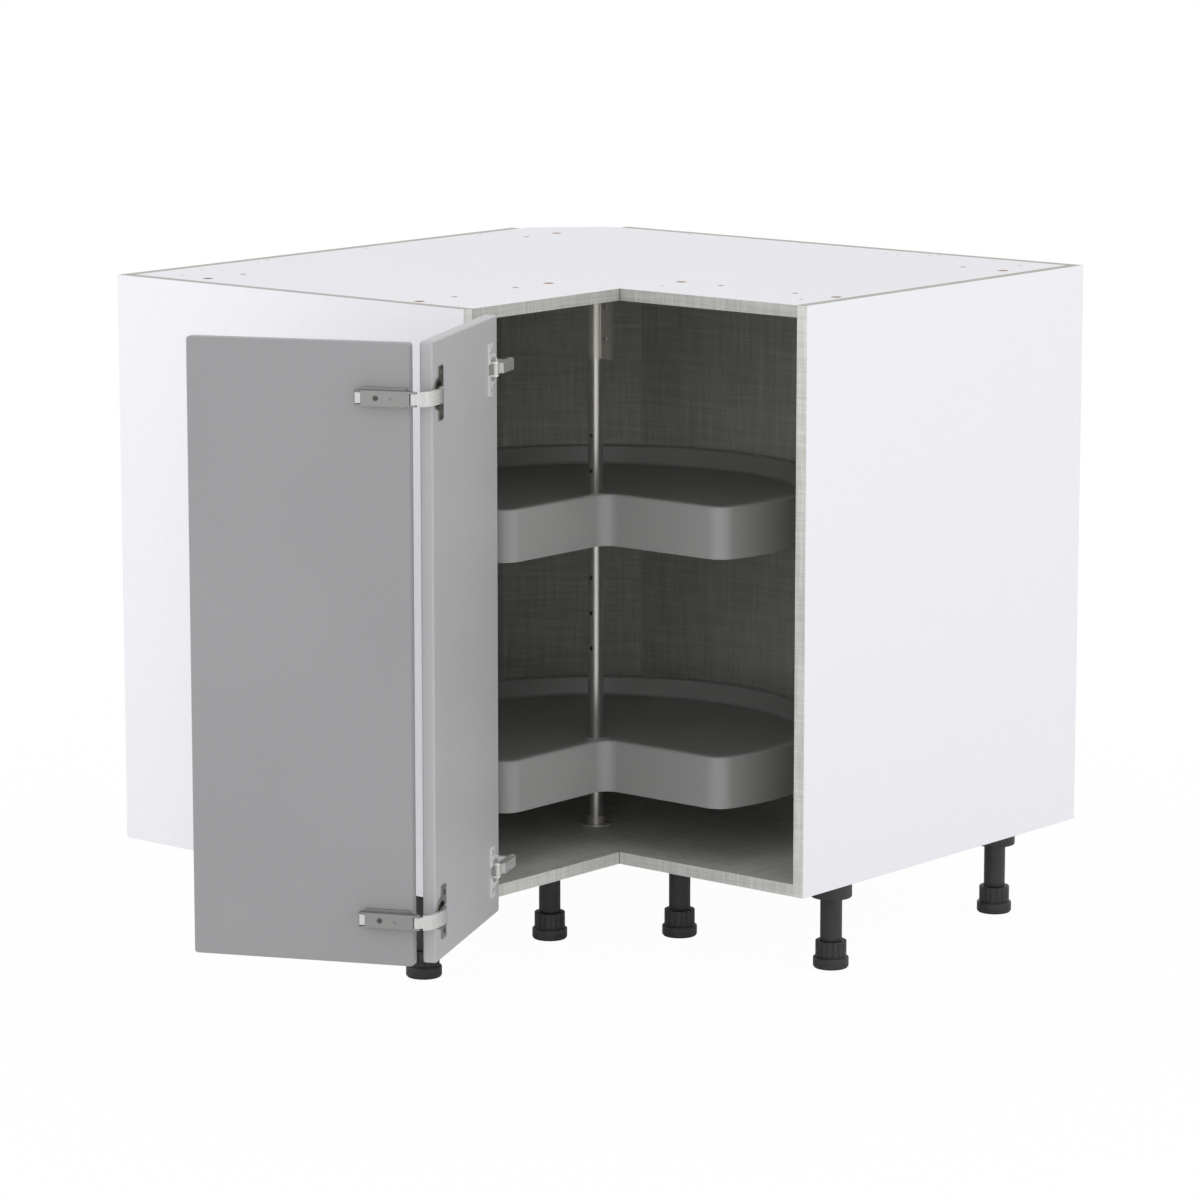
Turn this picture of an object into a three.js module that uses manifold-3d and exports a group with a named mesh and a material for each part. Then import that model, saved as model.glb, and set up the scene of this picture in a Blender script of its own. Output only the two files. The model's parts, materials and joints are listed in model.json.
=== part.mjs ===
// Corner base cabinet with a door that folds in the middle and two pie-cut trays on a pole.
// Millimetres, +Z up. The pieces are drawn about the middle of the square that the cabinet fills,
// with the left wing's end panel facing -Y, the right wing's end panel facing +X and the room's
// corner at -X +Y. The door's pieces are drawn where they lie with the door closed, and nested
// groups swing them open about their hinge pins.
import * as THREE from 'three';
import { mergeVertices } from 'three/addons/utils/BufferGeometryUtils.js';
import Module from 'manifold-3d';

const wasm = await Module();
wasm.setup();

// Carcass
const cabinetSide = 914.4; // along each wall
const wingDepth = 609.6; // front to back of each wing
const carcassHeight = 762;
const legHeight = 114.3; // floor to the underside of the carcass
const boardThickness = 16;
const boardGap = 0.2; // hairline between boards that meet
const cornerCut = 118; // cut off each wall where the back is slanted
const slantedBackInset = 24.5; // from the cut to the slanted panel

// Drilling, alike in the bottom and in the top
const legHoleRadius = 7.5;
const pairedHoleRadius = 5;
const holeDepth = 11;
const holePairDistance = 66;
const dowelHoleRadius = 3;
const dowelHoleInset = 28; // from a wall face
const dowelHoleShares = [0.28, 0.5, 0.76]; // along each wall

// Leg places
const legSideInset = 31; // leg axis to an end panel's outer face
const legFrontInset = 101; // and behind the front edge
const innerLegInset = 108; // legs at the inside corner, behind the front edge
const innerLegOffset = 15; // and past the inside corner, along the front
const rearLegInset = 123; // legs along the walls, from the wall
const rearLegSideInset = 45; // and from the end panel's outer face
const cornerLegInset = 99; // leg in the room's corner, from the left wall
const cornerLegOffset = 135; // and from the right wall

// Legs
const legFlangeRadius = 27;
const legFlangeHeight = 20;
const legFlangeChamfer = 1.2;
const legShaftRadius = 14.3;
const legSpigotLength = 9;
const legSpigotClearance = 0.5;
const legGap = 0.3;
const footPadHeight = 14.5;
const footPadRadius = 23.3;
const footPadRound = 2.5;
const footCollarHeight = 21.5;
const footCollarRadius = 20.3;
const footCollarChamfer = 1.2;
const spindleRadius = 7;
const spindleLength = 38; // above the collar
const spindleClearance = 0.5;

// Pole
const poleX = 21;
const poleY = -44;
const poleRadius = 10;
const poleWall = 1.6;
const poleFit = 0.3;
const poleHoleRadius = 2.8;
const poleHolePitch = 48;
const poleFirstHole = 258.7; // lowest hole above the underside of the carcass
const poleHoleCount = 7;
const baseFlangeRadius = 22;
const baseFlangeThickness = 3;
const baseSocketWall = 2.2;
const baseSocketHeight = 13;
const sleeveLength = 96;
const sleeveWall = 1.6;
const earReach = 28; // clamp ear's end, from the pole's axis
const earThickness = 5;
const earScrewReach = 19;
const earScrewInset = 27; // from each end of the sleeve
const ceilingPlateSide = 50;
const ceilingPlateThickness = 3;

// Trays
const trayRadius = 308;
const trayNotch = 100; // notch walls to the pole's axis
const trayCornerRadius = 28;
const trayNotchRadius = 22;
const traySkirtHeight = 68; // rim's top to the skirt's bottom
const traySkin = 3;
const trayRimWidth = 15;
const trayRimRound = 2.6;
const trayWellDepth = 26; // rim's top to the floor
const trayWellDraft = 2; // well's wall leans in by this
const trayWellRound = 3;
const trayFloorThickness = 4;
const trayJointGap = 0.3; // floor's edge to the rim's foot
const trayRibHeight = 12;
const trayRibThickness = 2.4;
const trayRibCount = 8;
const hubRadius = 17.5;
const hubLength = 20; // floor's underside to the hub's end
const hubRise = 2;
const hubClearance = 0.6;
const upperTrayTop = 489.7; // rim's top above the underside of the carcass
const lowerTrayTop = 161.7;
const collarRadius = 19;
const collarHeight = 14;
const collarGap = 0.3;
const setScrewRadius = 2.5;
const setScrewClearance = 0.3;

// Door leaves
const leafThickness = 16;
const leafTopReveal = 3.3; // carcass's top above the leaf's
const leafReveal = 1.5; // leaf's edge to the end panel's outer face
const leafStandoff = 2; // leaf's inner face to the carcass's front
const foldGap = 6; // between the leaves at the inside corner
const leafCornerRadius = 2.2;
const leafEdgeRound = 1.8;

// Hinges
const upperHingeInset = 65; // below the leaf's top
const lowerHingeInset = 58; // above the leaf's bottom
const hingeFit = 0.3;
const pinRadius = 1.5;
const pinClearance = 0.4;
const pinHeadHeight = 0.4; // pin's ends stand proud by this
const knuckleRadius = 4;
const innerLinkHalfHeight = 4.2;
const forkPlateThickness = 2.1;
const earPlateThickness = 2.1;
const linkHalfWidth = 3.4;
const cupRadius = 17.5;
const cupDepth = 11.5;
const cupWall = 1.9;
const cupFloor = 2;
const cupBoreClearance = 0.3;
const cupEdgeDistance = 21.8; // cup's axis to the leaf's edge
const cupFlangeRadius = 20;
const cupFlangeThickness = 1.35;
const cupFlangeLift = 0.15;
const cupWingLength = 66;
const cupWingStart = 0.7; // wing's near side, from the cup's axis
const cupWingWidth = 19;
const cupWingRound = 2.5;
const cupSlotClearance = 0.5;
const plateStart = 12; // from the arm's pin
const plateLength = 58;
const plateHalfHeight = 12;
const plateThickness = 3.6;
const armLength = 74;
const armDepth = 9.6;
const armEndSlope = 3;
const armHalfHeight = 8.7;
const armForkDepth = 5;
const armCheek = 1.5; // side walls beyond the arm's closed part, where the clip sits
const armScrewPlace = 47; // from the arm's pin
const armScrewRecess = 1.2;
const armDimplePlace = 27;
const armDimpleRadius = 2.4;
const clipLength = 7.5;
const clipInset = 0.7; // clip's end to the cheeks' end
const clipLift = 1; // clip's underside off the arm's
const clipDepth = 8;
const clipHalfHeight = 6.6;
const clipRound = 2;
const screwHeadRadius = 3.4;
const screwHeadHeight = 1.8;
const screwHeadGap = 0.15;

// Hinges between the carcass and the hinged leaf
const swingPinInset = 16.4; // arm's pin behind the carcass's front
const swingPinLift = 10.2; // and off the end panel
const swingCupPinShift = 1.9; // cup's pin from the cup's axis, away from the leaf's edge
const swingCupPinLift = 4.5; // and off the leaf
const innerLinkLength = 58;
const outerLinkLength = 62;
const innerLinkOpen = 18.868; // link's bearing from the arm's pin with the door open, degrees from +X
const outerLinkOpen = 113.049; // link's bearing from the cup's pin with the door open
const leafTurn = 154.9; // from closed to open, clockwise
const webOffset = 4.5; // outer link's web to its centre line
const webThickness = 1.9;
const webStart = 14; // from the cup's pin
const webEnd = 56;
const outerLinkSolid = 22; // unforked length from the cup's pin

// Hinges between the two leaves
const foldPinLift = 12; // arm's pin off the folding leaf
const foldPinOverhang = 9; // and past its edge
const foldCupPinShift = 1.8; // cup's pin from the cup's axis, towards the leaf's edge
const foldCupPinLift = 4;
const foldLinkBulge = 7; // link's swing round the edge, off the hinged leaf
const foldLinkStart = 8.5; // off the leaf where it has left the cup's pin
const foldLinkRun = 8; // and from that pin along the leaf
const foldLinkEnd = 1; // off the leaf near the arm's pin
const foldLinkEndShare = 0.75; // of the way there from the middle
const foldLinkThickness = 4.4;
const foldLinkHalfHeight = 9; // of the strap between its two ends
const foldLinkSteps = 24;
const foldLinkWideFrom = 4; // first and last step at which the strap has its full height
const foldLinkWideTo = 21;

// Facets round a full turn
const fineFacets = 20;
const coarseFacets = 16;
const pinFacets = 10;
const pairedHoleFacets = 12;
const dowelHoleFacets = 8;
const leafRoundSteps = 2;
const leafCornerSteps = 3;
const trayArcSteps = 32;
const filletSteps = 4;

// Cutting tools reach past the faces that they open by this
const cutPast = 1;

// Planes and heights worked out from the sizes above
const half = cabinetSide / 2;
const wallInside = half - boardThickness;
const front = wingDepth - half;
const carcassLow = legHeight;
const carcassTop = legHeight + carcassHeight;
const insideLow = carcassLow + boardThickness;
const insideTop = carcassTop - boardThickness;
const leafHeight = carcassHeight - leafTopReveal;
const leafFace = front + leafStandoff;
const foldEdge = leafFace + leafThickness + foldGap;
const leafWidth = half - leafReveal - foldEdge;
const hingeHeights = {
  upper: carcassLow + leafHeight - upperHingeInset,
  lower: carcassLow + lowerHingeInset,
};
const outerLinkHalfHeight = innerLinkHalfHeight + hingeFit + forkPlateThickness;
const cupEarHalfHeight = outerLinkHalfHeight + hingeFit + earPlateThickness;
const pinHoleRadius = pinRadius + pinClearance;
const armBase = plateThickness + hingeFit;
const clipStart = armLength - clipInset - clipLength;
const radians = THREE.MathUtils.degToRad;

function material(colour, roughness, metalness) {
  return new THREE.MeshStandardMaterial({ color: colour, roughness, metalness });
}

const finishes = {
  board: () => material('#e6e6ea', 0.5, 0),
  shadedBoard: () => material('#bdbfb7', 0.6, 0),
  leaf: () => material('#a2a2a4', 0.45, 0),
  tray: () => material('#8f9294', 0.5, 0),
  nickel: () => material('#b9b9b7', 0.3, 0.9),
  steel: () => material('#c4c6c8', 0.25, 0.9),
  charcoal: () => material('#3c3c3e', 0.6, 0),
};

// Solids

function toSolid(geometry) {
  const bare = geometry.clone();
  bare.deleteAttribute('normal');
  bare.deleteAttribute('uv');
  const merged = mergeVertices(bare, 1e-4);
  return new wasm.Manifold(new wasm.Mesh({
    numProp: 3,
    vertProperties: new Float32Array(merged.attributes.position.array),
    triVerts: new Uint32Array(merged.index.array),
  }));
}

function toGeometry(solid) {
  const mesh = solid.getMesh();
  const geometry = new THREE.BufferGeometry();
  geometry.setAttribute('position', new THREE.BufferAttribute(new Float32Array(mesh.vertProperties), 3));
  geometry.setIndex(new THREE.BufferAttribute(new Uint32Array(mesh.triVerts), 1));
  geometry.computeVertexNormals();
  return geometry;
}

function join(geometries) {
  let solid = toSolid(geometries[0]);
  for (const geometry of geometries.slice(1)) solid = solid.add(toSolid(geometry));
  return toGeometry(solid);
}

function cut(geometry, tools) {
  let solid = toSolid(geometry);
  for (const tool of tools) solid = solid.subtract(toSolid(tool));
  return toGeometry(solid);
}

function overlap(geometry, other) {
  return toGeometry(toSolid(geometry).intersect(toSolid(other)));
}

function block(xLow, xHigh, yLow, yHigh, zLow, zHigh) {
  const geometry = new THREE.BoxGeometry(xHigh - xLow, yHigh - yLow, zHigh - zLow);
  return geometry.translate((xLow + xHigh) / 2, (yLow + yHigh) / 2, (zLow + zHigh) / 2);
}

// A flat outline in X and Y, carried up from one height to another
function prism(outline, zLow, zHigh, steps = filletSteps) {
  const corners = Array.isArray(outline) ? outline.map(([x, y]) => new THREE.Vector2(x, y)) : null;
  const shape = corners ? new THREE.Shape(corners) : outline;
  const options = { depth: zHigh - zLow, bevelEnabled: false, curveSegments: steps };
  return new THREE.ExtrudeGeometry(shape, options).translate(0, 0, zLow);
}

// An upright cylinder
function rod(x, y, zLow, zHigh, radius, facets = coarseFacets) {
  const geometry = new THREE.CylinderGeometry(radius, radius, zHigh - zLow, facets);
  return geometry.rotateX(Math.PI / 2).translate(x, y, (zLow + zHigh) / 2);
}

// A profile of radius and height turned about an upright axis
function turned(profile, facets) {
  const points = profile.map(([radius, height]) => new THREE.Vector2(radius, height));
  return new THREE.LatheGeometry(points, facets).rotateX(Math.PI / 2);
}

function roundedRectangle(xLow, xHigh, yLow, yHigh, radius) {
  const shape = new THREE.Shape();
  shape.absarc(xHigh - radius, yHigh - radius, radius, 0, Math.PI / 2);
  shape.absarc(xLow + radius, yHigh - radius, radius, Math.PI / 2, Math.PI);
  shape.absarc(xLow + radius, yLow + radius, radius, Math.PI, 1.5 * Math.PI);
  shape.absarc(xHigh - radius, yLow + radius, radius, 1.5 * Math.PI, 2 * Math.PI);
  return shape;
}

function addPiece(parent, name, geometry, finish, x = 0, y = 0, z = 0) {
  const mesh = new THREE.Mesh(geometry, finish());
  mesh.name = name;
  mesh.position.set(x, y, z);
  parent.add(mesh);
  return mesh;
}

// A group whose children keep their parent's coordinates until it turns about the upright line
// through the pivot
function addPivot(parent, pivot, degrees) {
  const turning = new THREE.Group();
  turning.position.set(pivot.x, pivot.y, 0);
  turning.rotation.z = radians(degrees);
  const drawn = new THREE.Group();
  drawn.position.set(-pivot.x, -pivot.y, 0);
  turning.add(drawn);
  parent.add(turning);
  return drawn;
}

// Carcass

const legSpots = [
  { x: -half + rearLegInset, y: -half + rearLegSideInset, pair: [0, 1] },
  { x: front - legFrontInset, y: -half + legSideInset, pair: [0, 1] },
  { x: front - innerLegInset, y: -front - innerLegOffset, pair: [0, -1] },
  { x: front + innerLegOffset, y: -front + innerLegInset, pair: [1, 0] },
  { x: half - legSideInset, y: -front + legFrontInset, pair: [-1, 0] },
  { x: half - rearLegSideInset, y: half - rearLegInset, pair: [-1, 0] },
  { x: -half + cornerLegInset, y: half - cornerLegOffset, pair: [0, -1] },
];

// The left board runs the whole depth of the left wing and has the room's corner cut off;
// the right board fills the rest
const boardOutlines = {
  left: () => {
    const edge = wallInside - boardGap;
    const cutLine = 2 * half - cornerCut;
    const outline = [[-edge, -edge], [front - boardGap / 2, -edge], [front - boardGap / 2, edge]];
    return [...outline, [edge - cutLine, edge], [-edge, cutLine - edge]];
  },
  right: () => {
    const edge = wallInside - boardGap;
    const seam = front + boardGap / 2;
    return [[seam, -front], [edge, -front], [edge, edge], [seam, edge]];
  },
};

function drilledBoard(side, zLow, holesFromTop, withPairs) {
  const zHigh = zLow + boardThickness;
  const onBoard = (x) => (side === 'left' ? x < front : x > front);
  const zStart = holesFromTop ? zHigh - holeDepth : zLow - cutPast;
  const zEnd = holesFromTop ? zHigh + cutPast : zLow + holeDepth;
  const holes = [];
  for (const spot of legSpots) {
    if (onBoard(spot.x)) holes.push(rod(spot.x, spot.y, zStart, zEnd, legHoleRadius));
    const pairX = spot.x + spot.pair[0] * holePairDistance;
    const pairY = spot.y + spot.pair[1] * holePairDistance;
    if (withPairs && onBoard(pairX)) {
      holes.push(rod(pairX, pairY, zStart, zEnd, pairedHoleRadius, pairedHoleFacets));
    }
  }
  for (const share of withPairs ? dowelHoleShares : []) {
    const along = -half + share * cabinetSide;
    const inset = half - dowelHoleInset;
    if (onBoard(-inset)) holes.push(rod(-inset, along, zStart, zEnd, dowelHoleRadius, dowelHoleFacets));
    if (onBoard(along)) holes.push(rod(along, inset, zStart, zEnd, dowelHoleRadius, dowelHoleFacets));
  }
  return cut(prism(boardOutlines[side](), zLow, zHigh), holes);
}

function slantedBack() {
  const edge = wallInside - boardGap;
  const outer = 2 * half - cornerCut - slantedBackInset * Math.SQRT2;
  const inner = outer - boardThickness * Math.SQRT2;
  const outline = [[-edge, inner - edge], [edge - inner, edge], [edge - outer, edge], [-edge, outer - edge]];
  return prism(outline, insideLow + boardGap, insideTop - boardGap);
}

function addCarcass(parent) {
  const inside = wallInside - boardGap;
  const { board, shadedBoard } = finishes;
  const leftEnd = block(-half, front, -half, -wallInside, carcassLow, carcassTop);
  const rightEnd = block(wallInside, half, -front, half, carcassLow, carcassTop);
  const leftBack = block(-half, -wallInside, -inside, half - cornerCut, carcassLow, carcassTop);
  const rightBack = block(cornerCut - half, inside, wallInside, half, carcassLow, carcassTop);
  addPiece(parent, 'left_end_panel', leftEnd, board);
  addPiece(parent, 'right_end_panel', rightEnd, board);
  addPiece(parent, 'left_back_panel', leftBack, board);
  addPiece(parent, 'right_back_panel', rightBack, board);
  addPiece(parent, 'corner_back_panel', slantedBack(), shadedBoard);
  for (const side of ['left', 'right']) {
    addPiece(parent, `bottom_board_${side}`, drilledBoard(side, carcassLow, false, false), shadedBoard);
    addPiece(parent, `top_board_${side}`, drilledBoard(side, insideTop, true, true), board);
  }
}

// Legs

function legBody() {
  const shaftLow = footPadHeight + footCollarHeight + legGap;
  const flangeLow = legHeight - legFlangeHeight;
  const flangeTop = legHeight - legGap;
  const boreRadius = spindleRadius + spindleClearance;
  const boreTop = footPadHeight + footCollarHeight + spindleLength + legGap;
  const spigotRadius = legHoleRadius - legSpigotClearance;
  return turned([
    [0, boreTop],
    [boreRadius, boreTop],
    [boreRadius, shaftLow],
    [legShaftRadius, shaftLow],
    [legShaftRadius, flangeLow],
    [legFlangeRadius - legFlangeChamfer, flangeLow],
    [legFlangeRadius, flangeLow + legFlangeChamfer],
    [legFlangeRadius, flangeTop],
    [spigotRadius, flangeTop],
    [spigotRadius, flangeTop + legSpigotLength],
    [0, flangeTop + legSpigotLength],
  ], coarseFacets);
}

function levellingFoot() {
  const collarTop = footPadHeight + footCollarHeight;
  return turned([
    [0, 0],
    [footPadRadius - footPadRound, 0],
    [footPadRadius, footPadRound],
    [footPadRadius, footPadHeight],
    [footCollarRadius, footPadHeight],
    [footCollarRadius, collarTop - footCollarChamfer],
    [footCollarRadius - footCollarChamfer, collarTop],
    [spindleRadius, collarTop],
    [spindleRadius, collarTop + spindleLength],
    [0, collarTop + spindleLength],
  ], coarseFacets);
}

function addLegs(parent) {
  legSpots.forEach((spot, index) => {
    addPiece(parent, `leg_body_${index + 1}`, legBody(), finishes.charcoal, spot.x, spot.y);
    addPiece(parent, `levelling_foot_${index + 1}`, levellingFoot(), finishes.charcoal, spot.x, spot.y);
  });
}

// Pole

function poleTube() {
  const low = insideLow + baseFlangeThickness + poleFit;
  const high = insideTop - ceilingPlateThickness - poleFit;
  const bore = poleRadius - poleWall;
  const wall = [[poleRadius, low], [poleRadius, high], [bore, high], [bore, low], [poleRadius, low]];
  const tube = turned(wall, fineFacets);
  const holes = [];
  for (let index = 0; index < poleHoleCount; index += 1) {
    const length = 2 * (poleRadius + cutPast);
    const hole = new THREE.CylinderGeometry(poleHoleRadius, poleHoleRadius, length, pinFacets);
    holes.push(hole.translate(0, 0, carcassLow + poleFirstHole + index * poleHolePitch));
  }
  return cut(tube, holes);
}

function poleBase() {
  const bore = poleRadius + poleFit;
  const socket = bore + baseSocketWall;
  return turned([
    [0, insideLow],
    [baseFlangeRadius, insideLow],
    [baseFlangeRadius, insideLow + baseFlangeThickness],
    [socket, insideLow + baseFlangeThickness],
    [socket, insideLow + baseSocketHeight],
    [bore, insideLow + baseSocketHeight],
    [bore, insideLow + baseFlangeThickness],
    [0, insideLow + baseFlangeThickness],
  ], fineFacets);
}

function poleTopBracket() {
  const bore = poleRadius + poleFit;
  const sleeve = bore + sleeveWall;
  const low = insideTop - sleeveLength;
  const plateLow = insideTop - ceilingPlateThickness;
  const side = ceilingPlateSide / 2;
  const tube = turned([
    [bore, low],
    [sleeve, low],
    [sleeve, insideTop],
    [0, insideTop],
    [0, plateLow],
    [bore, plateLow],
    [bore, low],
  ], fineFacets);
  const ear = block(bore + sleeveWall / 2, earReach, -earThickness / 2, earThickness / 2, low, insideTop);
  const plate = block(-side, side, -side, side, plateLow, insideTop);
  return join([tube, ear, plate]);
}

// A clamp screw's head, on the side of the ear that faces the cabinet's front
function clampScrew() {
  const head = new THREE.CylinderGeometry(screwHeadRadius, screwHeadRadius, screwHeadHeight, coarseFacets);
  return head.translate(earScrewReach, -earThickness / 2 - screwHeadGap - screwHeadHeight / 2, 0);
}

function addPole(parent) {
  addPiece(parent, 'pole', poleTube(), finishes.steel, poleX, poleY);
  addPiece(parent, 'pole_base', poleBase(), finishes.steel, poleX, poleY);
  addPiece(parent, 'pole_top_bracket', poleTopBracket(), finishes.steel, poleX, poleY);
  const screwHeights = [insideTop - earScrewInset, insideTop - sleeveLength + earScrewInset];
  screwHeights.forEach((height, index) => {
    addPiece(parent, `clamp_screw_${index + 1}`, clampScrew(), finishes.nickel, poleX, poleY, height);
  });
}

// Trays

function arcPoints(centreX, centreY, radius, from, to, steps) {
  const points = [];
  for (let index = 0; index <= steps; index += 1) {
    const angle = from + (to - from) * index / steps;
    points.push([centreX + radius * Math.cos(angle), centreY + radius * Math.sin(angle)]);
  }
  return points;
}

// The tray's outline drawn in by an inset: a circle about the pole with a square notch taken out
// towards the inside corner of the cabinet, its outer corners and its inner corner rounded
function trayOutline(inset) {
  const radius = trayRadius - inset;
  const notch = trayNotch - inset;
  const corner = trayCornerRadius - inset;
  const hollow = trayNotchRadius + inset;
  const reach = Math.sqrt((radius - corner) ** 2 - (notch - corner) ** 2);
  const tilt = Math.atan2(notch - corner, reach);
  const quarter = Math.PI / 2;
  return [
    ...arcPoints(0, 0, radius, -tilt, 3 * quarter + tilt, trayArcSteps),
    ...arcPoints(notch - corner, -reach, corner, -quarter + tilt, 0, filletSteps).slice(1),
    ...arcPoints(notch + hollow, -notch - hollow, hollow, 2 * quarter, quarter, filletSteps),
    ...arcPoints(reach, corner - notch, corner, -quarter, -tilt, filletSteps).slice(0, -1),
  ];
}

// Closed rings of points joined into one skin; the last ring is joined to the first
function skinOfRings(rings) {
  const count = rings[0].length;
  const faces = [];
  rings.forEach((ring, level) => {
    const next = (level + 1) % rings.length;
    for (let index = 0; index < count; index += 1) {
      const after = (index + 1) % count;
      faces.push(level * count + index, level * count + after, next * count + index);
      faces.push(level * count + after, next * count + after, next * count + index);
    }
  });
  const geometry = new THREE.BufferGeometry();
  geometry.setAttribute('position', new THREE.Float32BufferAttribute(rings.flat(2), 3));
  geometry.setIndex(faces);
  geometry.computeVertexNormals();
  return geometry;
}

// A ring of the outline at one height, and a ring about the pole with a point for each of its points
const outlineRing = (inset, z) => trayOutline(inset).map(([x, y]) => [x, y, z]);
const hubRing = (radius, z) => trayOutline(trayRimWidth).map(([x, y]) => {
  const bearing = Math.atan2(y, x);
  return [radius * Math.cos(bearing), radius * Math.sin(bearing), z];
});

// The rim, the skirt outside it and the well's wall inside it, down to a foot beside the floor
function trayRim() {
  const floor = -trayWellDepth;
  const underside = floor - trayFloorThickness;
  const wellInset = trayRimWidth + trayWellDraft;
  return skinOfRings([
    outlineRing(0, -traySkirtHeight),
    outlineRing(0, -trayRimRound),
    outlineRing(trayRimRound, 0),
    outlineRing(trayRimWidth - trayRimRound, 0),
    outlineRing(trayRimWidth, -trayRimRound),
    outlineRing(wellInset, floor + trayWellRound),
    outlineRing(wellInset + trayWellRound, floor),
    outlineRing(wellInset + trayWellRound, underside),
    outlineRing(wellInset - traySkin, underside),
    outlineRing(trayRimWidth - traySkin, -traySkin),
    outlineRing(traySkin, -traySkin),
    outlineRing(traySkin, -traySkirtHeight),
  ]);
}

// The floor inside the rim's foot, with the hub that turns on the pole and ribs underneath
function trayFloor() {
  const floor = -trayWellDepth;
  const underside = floor - trayFloorThickness;
  const edge = trayRimWidth + trayWellDraft + trayWellRound + trayJointGap;
  const boreRadius = poleRadius + hubClearance;
  const skin = skinOfRings([
    outlineRing(edge, underside),
    outlineRing(edge, floor),
    hubRing(hubRadius, floor),
    hubRing(hubRadius, floor + hubRise),
    hubRing(boreRadius, floor + hubRise),
    hubRing(boreRadius, underside - hubLength),
    hubRing(hubRadius, underside - hubLength),
    hubRing(hubRadius, underside),
  ]);
  const ribs = [];
  for (let index = 0; index < trayRibCount; index += 1) {
    const start = (hubRadius + boreRadius) / 2;
    const thickness = trayRibThickness / 2;
    const ribLow = underside - trayRibHeight;
    const rib = block(start, trayRadius, -thickness, thickness, ribLow, underside + cutPast);
    ribs.push(rib.rotateZ(radians(index * 360 / trayRibCount)));
  }
  const room = prism(trayOutline(edge), -traySkirtHeight, underside + cutPast);
  return join([skin, ...ribs.map((rib) => overlap(rib, room))]);
}

function collar() {
  const bore = poleRadius + poleFit;
  const ring = turned([
    [bore, -collarHeight],
    [collarRadius, -collarHeight],
    [collarRadius, 0],
    [bore, 0],
    [bore, -collarHeight],
  ], fineFacets);
  const holeRadius = setScrewRadius + setScrewClearance;
  const hole = new THREE.CylinderGeometry(holeRadius, holeRadius, collarRadius, pinFacets);
  return cut(ring, [hole.translate(0, -collarRadius / 2 - bore / 2, -collarHeight / 2)]);
}

function setScrew() {
  const start = poleRadius + poleFit;
  const length = collarRadius - start;
  const screw = new THREE.CylinderGeometry(setScrewRadius, setScrewRadius, length, pinFacets);
  return screw.translate(0, -start - length / 2, -collarHeight / 2);
}

function addTrays(parent) {
  for (const [name, top] of [['upper', upperTrayTop], ['lower', lowerTrayTop]]) {
    const height = carcassLow + top;
    const seat = height - trayWellDepth - trayFloorThickness - hubLength - collarGap;
    addPiece(parent, `${name}_tray_floor`, trayFloor(), finishes.tray, poleX, poleY, height);
    addPiece(parent, `${name}_tray_rim`, trayRim(), finishes.tray, poleX, poleY, height);
    addPiece(parent, `${name}_tray_collar`, collar(), finishes.nickel, poleX, poleY, seat);
    addPiece(parent, `${name}_collar_screw`, setScrew(), finishes.steel, poleX, poleY, seat);
  }
}

// Door leaves. A leaf is drawn with its inner face on z = 0, its width along X from one edge and
// its height along Y, and its cups' bores are cut from the inner face.

function leaf(boreEdges) {
  const outline = roundedRectangle(
    leafEdgeRound, leafWidth - leafEdgeRound, leafEdgeRound, leafHeight - leafEdgeRound, leafCornerRadius,
  );
  const board = new THREE.ExtrudeGeometry(outline, {
    depth: leafThickness - 2 * leafEdgeRound,
    bevelThickness: leafEdgeRound,
    bevelSize: leafEdgeRound,
    bevelSegments: leafRoundSteps,
    curveSegments: leafCornerSteps,
  }).translate(0, 0, leafEdgeRound);
  const bores = [];
  for (const x of boreEdges) {
    for (const height of Object.values(hingeHeights)) {
      const depth = cupDepth + cupBoreClearance;
      bores.push(rod(x, height - carcassLow, -cutPast, depth, cupRadius + cupBoreClearance, fineFacets));
    }
  }
  return bores.length > 0 ? cut(board, bores) : join([board]);
}

// Hinge pieces are drawn about z = 0, their mid height

function pin(x, y, halfHeight) {
  return rod(x, y, -halfHeight, halfHeight, pinRadius, pinFacets);
}

function pinHole(x, y, halfHeight) {
  return rod(x, y, -halfHeight - cutPast, halfHeight + cutPast, pinHoleRadius, pinFacets);
}

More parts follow.
